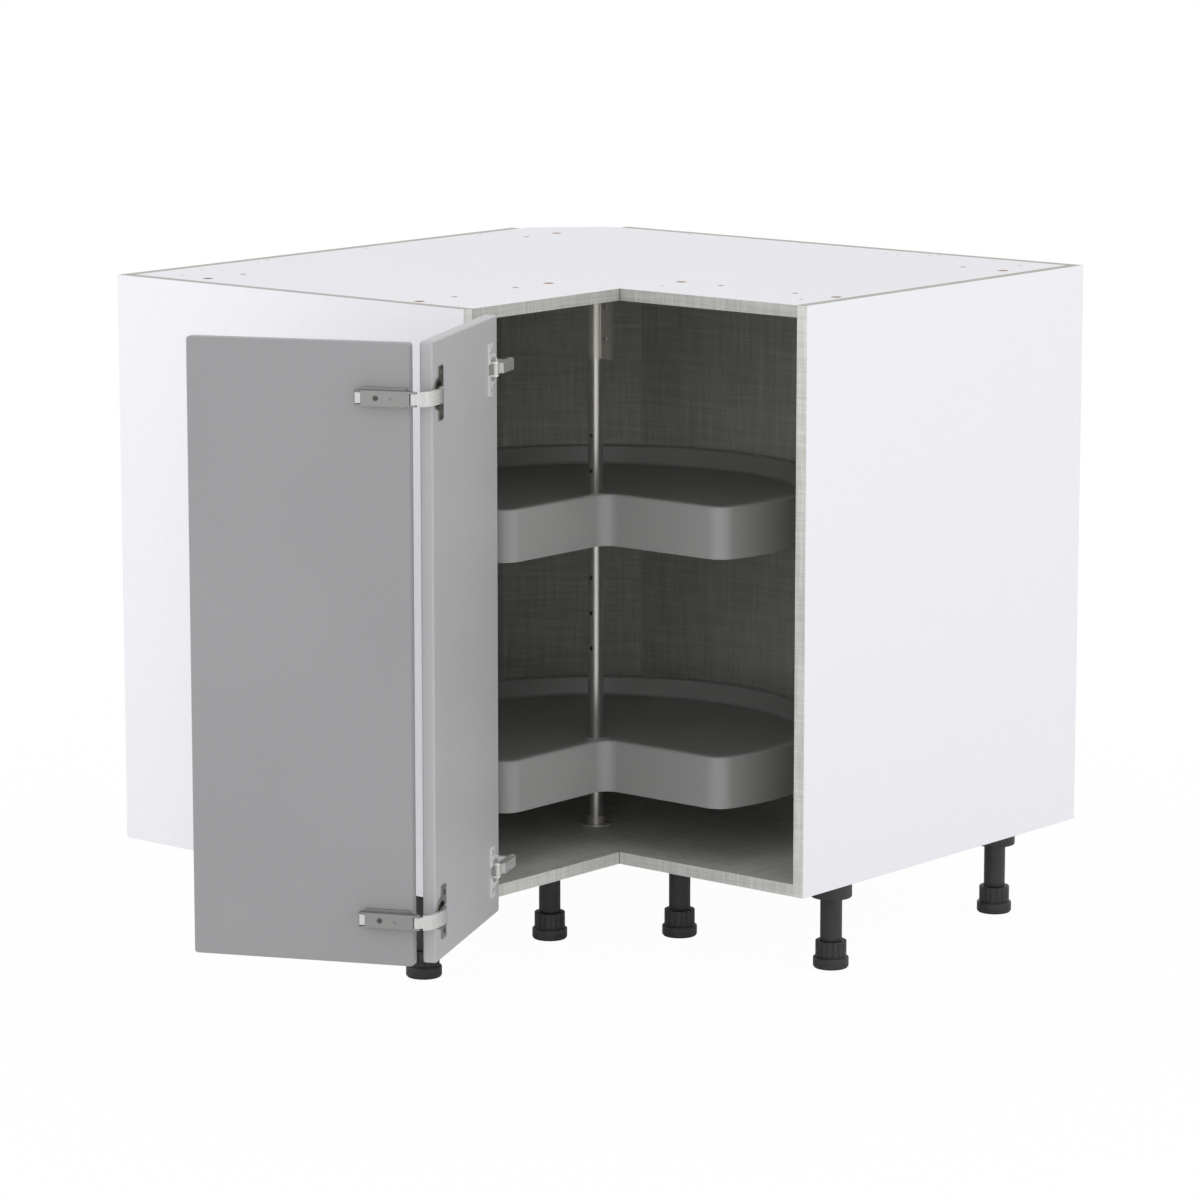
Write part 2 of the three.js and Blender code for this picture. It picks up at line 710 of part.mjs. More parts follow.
// Cup: bowl, flange in two halves, wings and ears. X runs along the leaf from the cup's axis,
// and the wings lie on the given side; Y rises off the leaf's inner face.
function cup(side, pinX, pinLift) {
  const flangeTop = cupFlangeLift + cupFlangeThickness;
  const bowlInside = cupRadius - cupWall;
  const bowl = new THREE.LatheGeometry([
    [0, -cupDepth],
    [cupRadius, -cupDepth],
    [cupRadius, cupFlangeLift],
    [cupFlangeRadius, cupFlangeLift],
    [cupFlangeRadius, flangeTop],
    [bowlInside, flangeTop],
    [bowlInside, cupFloor - cupDepth],
    [0, cupFloor - cupDepth],
  ].map(([radius, height]) => new THREE.Vector2(radius, height)), fineFacets);
  const wingFar = cupWingStart + cupWingWidth;
  const wingOutline = roundedRectangle(
    Math.min(side * cupWingStart, side * wingFar), Math.max(side * cupWingStart, side * wingFar),
    -cupWingLength / 2, cupWingLength / 2, cupWingRound,
  );
  const wings = prism(wingOutline, -flangeTop, -cupFlangeLift).rotateX(Math.PI / 2);
  const bowlRoom = new THREE.CylinderGeometry(bowlInside, bowlInside, 2 * flangeTop, fineFacets);
  const slotHalf = outerLinkHalfHeight + cupSlotClearance;
  const slot = block(
    -wingFar - cutPast, wingFar + cutPast, -cupFlangeLift, flangeTop + cutPast, -slotHalf, slotHalf,
  );
  const earOutline = new THREE.Shape();
  earOutline.absarc(pinX, pinLift, knuckleRadius, 0, Math.PI);
  earOutline.lineTo(pinX - knuckleRadius, cupFloor / 2 - cupDepth);
  earOutline.lineTo(pinX + knuckleRadius, cupFloor / 2 - cupDepth);
  const ears = [-1, 1].map((end) => {
    const near = end * (outerLinkHalfHeight + hingeFit);
    const far = end * cupEarHalfHeight;
    return prism(earOutline, Math.min(near, far), Math.max(near, far));
  });
  const body = cut(join([bowl, cut(wings, [bowlRoom])]), [slot]);
  return join([body, ...ears, pin(pinX, pinLift, cupEarHalfHeight + pinHeadHeight)]);
}

// Arm: X runs back from its pin, Y rises off the board, and the fork takes a link of the given half
// height
function arm(pinLift, linkHalf) {
  const top = armBase + armDepth;
  const outline = new THREE.Shape();
  outline.absarc(0, pinLift, knuckleRadius, Math.PI / 2, 1.5 * Math.PI);
  outline.lineTo(armForkDepth, armBase);
  outline.lineTo(armLength, armBase);
  outline.lineTo(armLength, top - armEndSlope);
  outline.lineTo(armLength - armEndSlope, top);
  outline.lineTo(armForkDepth, top);
  const forkHalf = linkHalf + hingeFit;
  const halfHeight = Math.max(armHalfHeight, forkHalf + earPlateThickness);
  const fork = block(-knuckleRadius - cutPast, armForkDepth, 0, top + knuckleRadius, -forkHalf, forkHalf);
  const recess = new THREE.CylinderGeometry(
    screwHeadRadius + hingeFit, screwHeadRadius + hingeFit, 2 * armScrewRecess, pinFacets,
  );
  const dimple = new THREE.CylinderGeometry(
    armDimpleRadius, armDimpleRadius, 2 * armScrewRecess, pinFacets,
  );
  const cheekHalf = halfHeight - armCheek;
  const clipRoom = block(
    clipStart - hingeFit, armLength + cutPast, 0, top + cutPast, -cheekHalf, cheekHalf,
  );
  const body = cut(prism(outline, -halfHeight, halfHeight), [
    fork,
    clipRoom,
    recess.translate(armScrewPlace, top, 0),
    dimple.translate(armDimplePlace, top, 0),
  ]);
  return join([body, pin(0, pinLift, halfHeight + pinHeadHeight)]);
}

function mountingPlate() {
  const outline = roundedRectangle(
    plateStart, plateStart + plateLength, -plateHalfHeight, plateHalfHeight, cupWingRound,
  );
  return prism(outline, -plateThickness, -screwHeadGap).rotateX(Math.PI / 2);
}

// Release clip between the cheeks at the arm's end
function clip() {
  const end = clipStart + clipLength;
  const low = armBase + clipLift;
  const high = low + clipDepth;
  const outline = new THREE.Shape();
  outline.moveTo(clipStart, low);
  outline.lineTo(end, low);
  outline.absarc(end - clipRound, high - clipRound, clipRound, 0, Math.PI / 2);
  outline.lineTo(clipStart, high);
  return prism(outline, -clipHalfHeight, clipHalfHeight);
}

// Inner link, from the arm's pin at the origin to the elbow along X
function innerLink() {
  const high = innerLinkHalfHeight;
  return cut(join([
    block(0, innerLinkLength, -linkHalfWidth, linkHalfWidth, -high, high),
    rod(0, 0, -high, high, knuckleRadius),
    rod(innerLinkLength, 0, -high, high, knuckleRadius),
  ]), [pinHole(0, 0, high), pinHole(innerLinkLength, 0, high)]);
}

// Outer link, from the cup's pin at the origin to the elbow along X: a fork about the inner link,
// its two plates joined by a web on the side that the inner link never comes to
function outerLink() {
  const high = outerLinkHalfHeight;
  const room = innerLinkHalfHeight + hingeFit;
  const webFar = webOffset + webThickness;
  const end = outerLinkLength + knuckleRadius + cutPast;
  const body = cut(join([
    block(0, outerLinkLength, -linkHalfWidth, linkHalfWidth, -high, high),
    block(webStart, webEnd, -webFar, 0, -high, high),
    rod(0, 0, -high, high, knuckleRadius),
    rod(outerLinkLength, 0, -high, high, knuckleRadius),
  ]), [block(outerLinkSolid, end, -webOffset, webFar, -room, room), pinHole(0, 0, high)]);
  return join([body, pin(outerLinkLength, 0, high + pinHeadHeight)]);
}

// Where the upright pins stand with the door closed
const cupAxis = -half + leafReveal + cupEdgeDistance;
const armPin = new THREE.Vector2(front - swingPinInset, swingPinLift - wallInside);
const leafPin = new THREE.Vector2(leafFace - swingCupPinLift, cupAxis + swingCupPinShift);
const foldCupAxis = -foldEdge - cupEdgeDistance;
const foldCupPin = new THREE.Vector2(leafFace - foldCupPinLift, foldCupAxis + foldCupPinShift);
const foldArmPin = new THREE.Vector2(foldEdge - foldPinOverhang, -leafFace + foldPinLift);
const elbowPin = elbow(armPin, leafPin);

// The elbow lies where the two links' circles cross, on the cabinet's side
function elbow(fromArm, fromLeaf) {
  const across = fromLeaf.clone().sub(fromArm);
  const distance = across.length();
  const along = (distance ** 2 + innerLinkLength ** 2 - outerLinkLength ** 2) / (2 * distance);
  const off = Math.sqrt(innerLinkLength ** 2 - along ** 2);
  const unit = across.normalize();
  const sideways = new THREE.Vector2(-unit.y, unit.x);
  return fromArm.clone().addScaledVector(unit, along).addScaledVector(sideways, off);
}

// Degrees from +X of the way from one point to another
function bearing(from, to) {
  return THREE.MathUtils.radToDeg(Math.atan2(to.y - from.y, to.x - from.x));
}

// A strip of even thickness along part of the fold link's curve
function strap(curve, from, to, halfHeight) {
  const left = [];
  const right = [];
  for (let index = from; index <= to; index += 1) {
    const point = curve.getPoint(index / foldLinkSteps);
    const tangent = curve.getTangent(index / foldLinkSteps);
    const offX = -tangent.y * foldLinkThickness / 2;
    const offY = tangent.x * foldLinkThickness / 2;
    left.unshift([point.x + offX, point.y + offY]);
    right.push([point.x - offX, point.y - offY]);
  }
  return prism([...right, ...left], -halfHeight, halfHeight);
}

// Bent link between the leaves: it swings round the hinged leaf's edge on the cabinet's side, and
// the curve has one control point for each change of direction
function foldLink() {
  const middle = (foldCupPin.y + foldArmPin.y) / 2;
  const curve = new THREE.SplineCurve([
    foldCupPin,
    new THREE.Vector2(leafFace - foldLinkStart, foldCupPin.y + foldLinkRun),
    new THREE.Vector2(leafFace - foldLinkBulge, middle),
    new THREE.Vector2(leafFace - foldLinkEnd, THREE.MathUtils.lerp(middle, foldArmPin.y, foldLinkEndShare)),
    foldArmPin,
  ]);
  const high = outerLinkHalfHeight;
  return cut(join([
    strap(curve, 0, foldLinkSteps, high),
    strap(curve, foldLinkWideFrom, foldLinkWideTo, foldLinkHalfHeight),
    rod(foldCupPin.x, foldCupPin.y, -high, high, knuckleRadius),
    rod(foldArmPin.x, foldArmPin.y, -high, high, knuckleRadius),
  ]), [pinHole(foldCupPin.x, foldCupPin.y, high), pinHole(foldArmPin.x, foldArmPin.y, high)]);
}

function addDoor(parent) {
  const { nickel, steel, leaf: leafFinish } = finishes;
  const innerClosed = bearing(armPin, elbowPin);
  const outerClosed = bearing(leafPin, elbowPin);
  const innerTurn = innerLinkOpen - innerClosed;
  const outerTurn = outerLinkOpen - outerClosed;
  const innerLinks = addPivot(parent, armPin, innerTurn);
  const outerLinks = addPivot(innerLinks, elbowPin, outerTurn - innerTurn);
  const door = addPivot(outerLinks, leafPin, -outerTurn - leafTurn);

  // X of a leaf's drawing goes along the leaf, Y up, and Z from its inner to its outer face
  const hingedPlace = new THREE.Matrix4().makeBasis(
    new THREE.Vector3(0, 1, 0), new THREE.Vector3(0, 0, 1), new THREE.Vector3(1, 0, 0),
  ).setPosition(leafFace, -half + leafReveal, carcassLow);
  const foldingPlace = new THREE.Matrix4().makeBasis(
    new THREE.Vector3(1, 0, 0), new THREE.Vector3(0, 0, 1), new THREE.Vector3(0, -1, 0),
  ).setPosition(foldEdge, -leafFace, carcassLow);
  const hingedLeaf = leaf([cupEdgeDistance, leafWidth - cupEdgeDistance]).applyMatrix4(hingedPlace);
  addPiece(door, 'hinged_door_leaf', hingedLeaf, leafFinish);
  addPiece(door, 'folding_door_leaf', leaf([]).applyMatrix4(foldingPlace), leafFinish);

  for (const [name, height] of Object.entries(hingeHeights)) {
    const swingArm = arm(swingPinLift, innerLinkHalfHeight).rotateY(Math.PI);
    addPiece(parent, `${name}_hinge_arm`, swingArm, nickel, armPin.x, -wallInside, height);
    const swingClip = clip().rotateY(Math.PI);
    addPiece(parent, `${name}_hinge_clip`, swingClip, steel, armPin.x, -wallInside, height);
    const swingPlate = mountingPlate().rotateY(Math.PI);
    addPiece(parent, `${name}_hinge_plate`, swingPlate, nickel, armPin.x, -wallInside, height);
    const inner = innerLink().rotateZ(radians(innerClosed));
    addPiece(innerLinks, `${name}_inner_link`, inner, nickel, armPin.x, armPin.y, height);
    const outer = outerLink().rotateZ(radians(outerClosed));
    addPiece(outerLinks, `${name}_outer_link`, outer, nickel, leafPin.x, leafPin.y, height);
    const swingCup = cup(1, swingCupPinShift, swingCupPinLift).rotateZ(Math.PI / 2);
    addPiece(door, `${name}_hinge_cup`, swingCup, nickel, leafFace, cupAxis, height);
    const foldCup = cup(-1, foldCupPinShift, foldCupPinLift).rotateZ(Math.PI / 2);
    addPiece(door, `${name}_fold_cup`, foldCup, nickel, leafFace, foldCupAxis, height);
    addPiece(door, `${name}_fold_link`, foldLink(), nickel, 0, 0, height);
    const foldArm = arm(foldPinLift, outerLinkHalfHeight);
    addPiece(door, `${name}_fold_arm`, foldArm, nickel, foldArmPin.x, -leafFace, height);
    addPiece(door, `${name}_fold_plate`, mountingPlate(), nickel, foldArmPin.x, -leafFace, height);
    addPiece(door, `${name}_fold_clip`, clip(), steel, foldArmPin.x, -leafFace, height);
  }
}

// The whole cabinet, set with the middle of its box over the origin and its feet on z = 0

const cabinet = new THREE.Group();
addCarcass(cabinet);
addLegs(cabinet);
addPole(cabinet);
addTrays(cabinet);
addDoor(cabinet);
cabinet.updateMatrixWorld(true);
const bounds = new THREE.Box3().setFromObject(cabinet, true);
const middle = bounds.getCenter(new THREE.Vector3());
cabinet.position.set(-middle.x, -middle.y, -bounds.min.z);

export default cabinet;
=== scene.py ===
import json
import math
import bmesh
import bpy
import numpy as np
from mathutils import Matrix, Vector


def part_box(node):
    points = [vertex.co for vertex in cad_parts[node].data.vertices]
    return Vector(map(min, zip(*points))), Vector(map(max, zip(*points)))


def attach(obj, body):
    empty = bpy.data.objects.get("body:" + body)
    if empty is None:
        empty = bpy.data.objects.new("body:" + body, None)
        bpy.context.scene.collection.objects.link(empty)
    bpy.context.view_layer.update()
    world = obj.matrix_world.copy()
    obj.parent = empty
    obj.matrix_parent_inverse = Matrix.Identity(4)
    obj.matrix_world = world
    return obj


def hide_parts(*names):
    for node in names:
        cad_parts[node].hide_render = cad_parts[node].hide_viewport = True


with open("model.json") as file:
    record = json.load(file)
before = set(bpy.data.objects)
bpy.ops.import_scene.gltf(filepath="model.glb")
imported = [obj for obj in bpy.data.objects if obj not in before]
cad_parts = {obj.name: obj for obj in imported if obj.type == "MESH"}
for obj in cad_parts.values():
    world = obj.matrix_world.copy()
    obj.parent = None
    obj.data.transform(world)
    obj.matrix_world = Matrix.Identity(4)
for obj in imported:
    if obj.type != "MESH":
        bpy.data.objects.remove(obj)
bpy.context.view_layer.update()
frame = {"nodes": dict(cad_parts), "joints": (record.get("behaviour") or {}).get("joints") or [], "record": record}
nodes = frame["nodes"]
bodyOf = {node: body for body, names in frame["record"]["behaviour"]["bodies"].items() for node in names}
jointAt = {joint["name"]: joint.get("pos_m") for joint in frame["joints"]}
hair = 1e-6  # points nearer than this are one point
print("frame loaded:", len(nodes), "nodes")


def makeMesh(name, vertices, faces, smooth=True):
    mesh = bpy.data.meshes.new(name)
    mesh.from_pydata(vertices.reshape(-1, 3).tolist(), [], faces)
    mesh.validate()
    mesh.polygons.foreach_set("use_smooth", np.full(len(mesh.polygons), smooth))
    piece = bpy.data.objects.new(name, mesh)
    bpy.context.scene.collection.objects.link(piece)
    return piece


def gridFaces(rows, columns, closeRows=False, start=0):
    # quads between neighbouring rows and columns of a grid of points; columns always wrap round, and
    # rows do where they close; start is the number of the grid's first point
    row, column = np.meshgrid(np.arange(rows if closeRows else rows - 1), np.arange(columns), indexing="ij")
    nextRow = (row + 1) % rows
    nextColumn = (column + 1) % columns
    quads = np.stack([row * columns + column, row * columns + nextColumn,
                      nextRow * columns + nextColumn, nextRow * columns + column], axis=-1)
    return (quads.reshape(-1, 4) + start).tolist()


def fullTurn(count):
    # evenly spaced angles once round
    return np.linspace(0, 2 * math.pi, count, endpoint=False)


def turnedPoints(profile, angle, centre, swell=None):
    # a profile of radius and height carried round an upright axis, a column of points at each angle;
    # swell changes the radius by height and angle
    profile = np.array(profile, float)
    count = len(angle)
    radius = np.repeat(profile[:, 0:1], count, axis=1)
    if swell is not None:
        radius = radius + swell(profile, angle)
    height = np.repeat(profile[:, 1:2], count, axis=1)
    points = np.stack([radius * np.cos(angle), radius * np.sin(angle), height], axis=-1)
    return points + np.array(centre)


def turnedPiece(name, profile, angle, centre, swell=None):
    # a turned profile whose two ends lie on the axis; the end rows are closed by one point each
    points = turnedPoints(profile, angle, centre, swell)
    return weld(makeMesh(name, points, gridFaces(len(points), len(angle))), hair)


def weld(piece, distance, turnOut=True):
    # points that lie on each other become one; turnOut makes the faces of a closed shape point outwards
    work = bmesh.new()
    work.from_mesh(piece.data)
    bmesh.ops.remove_doubles(work, verts=work.verts, dist=distance)
    if turnOut:
        bmesh.ops.recalc_face_normals(work, faces=work.faces)
    work.to_mesh(piece.data)
    work.free()
    return piece


def filletPoints(corners, steps):
    # a polyline given as rows of place and radius: each corner is rounded by an arc of its own radius
    corners = np.array(corners, float)
    places, radii = corners[:, :2], corners[:, 2]
    result = []
    for index, corner in enumerate(places):
        radius = radii[index]
        if radius == 0 or index in (0, len(places) - 1):
            result.append(corner)
            continue
        before = places[index - 1] - corner
        after = places[index + 1] - corner
        before /= np.linalg.norm(before)
        after /= np.linalg.norm(after)
        halfAngle = math.acos(np.clip(before @ after, -1, 1)) / 2
        reach = radius / math.tan(halfAngle)
        middle = (before + after) / np.linalg.norm(before + after)
        centre = corner + middle * radius / math.sin(halfAngle)
        start = corner + before * reach - centre
        end = corner + after * reach - centre
        for share in np.linspace(0, 1, steps):
            spoke = start * (1 - share) + end * share
            result.append(centre + spoke / np.linalg.norm(spoke) * radius)
    return np.array(result)


def applyModifiers(piece):
    # the piece's mesh becomes what its modifiers make of it
    bpy.context.view_layer.update()
    depsgraph = bpy.context.evaluated_depsgraph_get()
    mesh = bpy.data.meshes.new_from_object(piece.evaluated_get(depsgraph))
    piece.modifiers.clear()
    old = piece.data
    piece.data = mesh
    bpy.data.meshes.remove(old)
    return piece


easing = {"merge": 2e-5, "flatAngle": math.radians(1), "sharpAngle": math.radians(35), "segments": 2}


def softenedCopy(node, name, width):
    # a copy of a CAD solid with its faces merged and its edges eased by a small bevel
    piece = bpy.data.objects.new(name, nodes[node].data.copy())
    bpy.context.scene.collection.objects.link(piece)
    work = bmesh.new()
    work.from_mesh(piece.data)
    bmesh.ops.remove_doubles(work, verts=work.verts, dist=easing["merge"])
    bmesh.ops.dissolve_limit(work, angle_limit=easing["flatAngle"], verts=work.verts, edges=work.edges)
    work.to_mesh(piece.data)
    work.free()
    bevel = piece.modifiers.new("ease", "BEVEL")
    bevel.width = width
    bevel.segments = easing["segments"]
    bevel.limit_method = "ANGLE"
    bevel.angle_limit = easing["sharpAngle"]
    bevel.use_clamp_overlap = True
    applyModifiers(piece)
    weld(piece, hair, turnOut=False)
    piece.data.polygons.foreach_set("use_smooth", np.full(len(piece.data.polygons), True))
    piece.data.set_sharp_from_angle(angle=easing["sharpAngle"])
    flatten = piece.modifiers.new("flatten", "WEIGHTED_NORMAL")
    flatten.keep_sharp = True
    applyModifiers(piece)
    return standFor(piece, node)


def standFor(piece, *names):
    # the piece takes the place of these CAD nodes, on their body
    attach(piece, bodyOf[names[0]])
    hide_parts(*names)
    return piece


def addTo(piece, node):
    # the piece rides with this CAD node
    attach(piece, bodyOf[node])
    return piece


def paint(piece, material):
    piece.data.materials.clear()
    piece.data.materials.append(material)


class Shader:
    # a material's node tree with short calls for the nodes used below
    def __init__(self, name, **values):
        self.material = bpy.data.materials.new(name)
        self.material.use_nodes = True
        self.tree = self.material.node_tree
        self.surface = self.tree.nodes["Principled BSDF"]
        for key, value in values.items():
            self.surface.inputs[key.replace("_", " ")].default_value = value
        source = self.tree.nodes.new("ShaderNodeTexCoord")
        self.coordinates = source.outputs["Object"]
        self.facing = source.outputs["Normal"]

    def link(self, value, socket):
        if hasattr(value, "is_output"):
            self.tree.links.new(value, socket)
        else:
            socket.default_value = value

    def math(self, operation, first, second=0.0, third=0.0):
        node = self.tree.nodes.new("ShaderNodeMath")
        node.operation = operation
        for value, socket in zip((first, second, third), node.inputs):
            self.link(value, socket)
        return node.outputs[0]

    def axis(self, letter, vector=None):
        node = self.tree.nodes.new("ShaderNodeSeparateXYZ")
        self.link(vector or self.coordinates, node.inputs[0])
        return node.outputs[letter]

    def mapped(self, vector, scale=(1.0, 1.0, 1.0), place=(0.0, 0.0, 0.0), turn=0.0):
        node = self.tree.nodes.new("ShaderNodeMapping")
        self.link(vector, node.inputs["Vector"])
        node.inputs["Scale"].default_value = scale
        node.inputs["Location"].default_value = place
        node.inputs["Rotation"].default_value = (0.0, 0.0, turn)
        return node.outputs[0]

    def stretched(self, scale):
        return self.mapped(self.coordinates, scale)

    def within(self, spot, radius):
        # 1 inside a ball about the spot
        node = self.tree.nodes.new("ShaderNodeVectorMath")
        node.operation = "DISTANCE"
        self.link(self.coordinates, node.inputs[0])
        node.inputs[1].default_value = spot
        return self.math("LESS_THAN", node.outputs["Value"], radius)

    def noise(self, vector, scale=1.0, detail=2.0):
        node = self.tree.nodes.new("ShaderNodeTexNoise")
        self.link(vector, node.inputs["Vector"])
        node.inputs["Scale"].default_value = scale
        node.inputs["Detail"].default_value = detail
        return node.outputs["Fac"]

    def spread(self, value, low, high, newLow=0.0, newHigh=1.0):
        node = self.tree.nodes.new("ShaderNodeMapRange")
        self.link(value, node.inputs["Value"])
        node.inputs["From Min"].default_value = low
        node.inputs["From Max"].default_value = high
        node.inputs["To Min"].default_value = newLow
        node.inputs["To Max"].default_value = newHigh
        return node.outputs[0]

    def clouds(self, value):
        # a noise's middle values drawn out to the full range
        return self.spread(value, 0.3, 0.7)

    def blend(self, share, first, second):
        node = self.tree.nodes.new("ShaderNodeMix")
        node.data_type = "RGBA"
        self.link(share, node.inputs["Factor"])
        self.link(colour(first), node.inputs["A"])
        self.link(colour(second), node.inputs["B"])
        return node.outputs["Result"]

    def bump(self, height, strength, distance):
        node = self.tree.nodes.new("ShaderNodeBump")
        node.inputs["Strength"].default_value = strength
        node.inputs["Distance"].default_value = distance
        self.link(height, node.inputs["Height"])
        self.link(node.outputs[0], self.surface.inputs["Normal"])

    def set(self, socket, value):
        self.link(colour(value), self.surface.inputs[socket])


def linearPart(part):
    # the sRGB curve: a short straight foot, then a power
    share = part / 255
    return ((share + 0.055) / 1.055) ** 2.4 if part > 10 else share / 12.92


def colour(value):
    # 0 to 255 sRGB triples become linear colours; anything else passes through
    if isinstance(value, tuple) and len(value) == 3 and max(value) > 1:
        return (*[linearPart(part) for part in value], 1.0)
    return value


def toned(tone, share):
    # a colour made darker or paler by a share
    return tuple(int(part * share) for part in tone)


boardLook = {
    "white": (234, 234, 239),
    "whiteSpeckle": (231, 231, 236),
    # the seam between the top boards is a pale line, a painted highlight on its bevel
    "seamHighlight": (247, 247, 250),
    "linen": (208, 208, 203),
    "linenDark": (180, 180, 175),
    "topEdging": (176, 178, 170),
    "topEdgingDark": (156, 158, 150),
    "seam": (112, 112, 104),
    "raw": (198, 164, 124),
    "rawDark": (150, 114, 78),
    # the drilled holes' tone: bare chipboard brown darkened as painted shade
    "shadedHoleTone": (106, 66, 38),
    "fineThread": (430.0, 13.0),  # threads to the metre across and along
    "slub": (150.0, 8.0),
    "slubShare": 0.35,
    "threadRange": (0.78, 1.22),
    "threadBump": (0.12, 0.0004),
    "chipScale": 420,
    "speckleScale": 300,
    "roughness": 0.55,
    "faceReach": 0.0004,  # how near to a plane a point counts as on it
    "seamReach": 0.0007,
    "seamHighlightReach": 0.0006,
}

# painted light and shade on the one woven edging: how much paler or darker each board's front edging is painted
# than its woven faces, paler on the end panels as painted light, darker on the top boards as painted shade
edgePaintedLight = {
    "left_end_panel": 1.1, "right_end_panel": 1.1,
    "top_board_left": 0.91, "top_board_right": 0.91,
    "bottom_board_left": 1.03, "bottom_board_right": 1.03,
}

# drilled holes on the carcass's top, painted as flat discs: the brown of the bare chipboard inside them, darkened
# as painted shade in the hole; place on the top and radius
shadedHoles = [
    (0.1774, 0.0999, 0.0022), (0.4082, 0.0943, 0.0022), (0.1644, 0.6026, 0.0020), (0.1859, 0.6021, 0.0020),
    (0.2250, 0.6215, 0.0020), (0.3336, 0.6218, 0.0020), (0.3945, 0.5950, 0.0022), (-0.3879, -0.2091, 0.0022),
    (-0.4130, -0.1470, 0.0020), (-0.4192, -0.0319, 0.0020), (-0.4302, 0.1942, 0.0020),
]


def nearPlane(shader, letter, plane, reach=boardLook["faceReach"]):
    return shader.math("COMPARE", shader.axis(letter), plane, reach)


def anyOf(shader, values):
    total = values[0]
    for value in values[1:]:
        total = shader.math("MAXIMUM", total, value)
    return total


def linenThreads(shader, look, turn):
    # noise drawn out along each axis in turn; a thread is left out of the faces that it would stand
    # out of, so every face shows its threads both ways; wide slubs lie among the fine threads
    place = shader.mapped(shader.coordinates, turn=turn)
    facing = shader.mapped(shader.facing, turn=turn)
    kinds = ((look["fineThread"], 1 - look["slubShare"]), (look["slub"], look["slubShare"]))
    total = 0.0
    for index, letter in enumerate("XYZ"):
        weave = 0.0
        for (across, along), share in kinds:
            scale = [across] * 3
            scale[index] = along
            apart = (3.7 * index, 1.3 * index, 0)
            thread = shader.noise(shader.mapped(place, tuple(scale), apart), detail=1.5)
            weave = shader.math("MULTIPLY_ADD", thread, share, weave)
        shown = shader.math("SUBTRACT", 1.0, shader.math("ABSOLUTE", shader.axis(letter, facing)))
        total = shader.math("MULTIPLY_ADD", weave, shown, total)
    return total


def wovenTone(shader, threads, dark, pale):
    return shader.blend(shader.spread(threads, *boardLook["threadRange"]), dark, pale)


def frontEdging(shader, threads, seam, share):
    # the woven tone of the front edging, made paler or darker by the share as painted light and shade, and a mask
    # of the upright faces that it covers
    look = boardLook
    tone = wovenTone(shader, threads, toned(look["linenDark"], share), toned(look["linen"], share))
    standing = shader.math("LESS_THAN", shader.math("ABSOLUTE", shader.axis("Z", shader.facing)), 0.5)
    front = anyOf(shader, [nearPlane(shader, *plane) for plane in seam])
    return shader.math("MULTIPLY", standing, front), tone


def whiteFace(shader, node, height, seam):
    # speckled white; on the carcass's top it also has the boards' seam as a painted highlight line, and the
    # drilled holes as discs of bare chipboard brown darkened as painted shade
    look = boardLook
    speckle = shader.clouds(shader.noise(shader.stretched((look["speckleScale"],) * 3)))
    white = shader.blend(speckle, look["whiteSpeckle"], look["white"])
    if node.startswith("top_board"):
        # painted highlight along the top boards' seam
        white = shader.blend(nearPlane(shader, *seam[0], look["seamHighlightReach"]), white, look["seamHighlight"])
        holeShadeMask = anyOf(shader, [shader.within((x, y, height), radius) for x, y, radius in shadedHoles])
        white = shader.blend(holeShadeMask, white, look["shadedHoleTone"])
    return white


def boardMaterial(node, whitePlanes, linenPlanes, topEdge, seam, turn=0.0):
    # faces told apart by the plane that they lie on: white faces, woven grey faces, and bare
    # chipboard wherever the board is cut or drilled
    look = boardLook
    shader = Shader("board_" + node, Roughness=look["roughness"])
    chips = shader.clouds(shader.noise(shader.stretched((look["chipScale"],) * 3), detail=4.0))
    base = shader.blend(chips, look["rawDark"], look["raw"])
    threads = linenThreads(shader, look, turn)
    linen = wovenTone(shader, threads, look["linenDark"], look["linen"])
    # the front edging's tone carries the board's painted light and shade
    front, edging = frontEdging(shader, threads, seam, edgePaintedLight.get(node, 1.0))
    linen = shader.blend(front, linen, edging)
    linenMask = anyOf(shader, [nearPlane(shader, *plane) for plane in linenPlanes]) if linenPlanes else 1.0
    base = shader.blend(linenMask, base, linen)
    if topEdge:
        edging = wovenTone(shader, threads, look["topEdgingDark"], look["topEdging"])
        base = shader.blend(nearPlane(shader, *topEdge), base, edging)
    cornerLine = shader.math("MULTIPLY", *[nearPlane(shader, *plane, look["seamReach"]) for plane in seam])
    base = shader.blend(cornerLine, base, look["seam"])
    if whitePlanes:
        white = whiteFace(shader, node, whitePlanes[0][1], seam)
        base = shader.blend(anyOf(shader, [nearPlane(shader, *plane) for plane in whitePlanes]), base, white)
    shader.set("Base Color", base)
    shader.bump(threads, *look["threadBump"])
    return shader.material


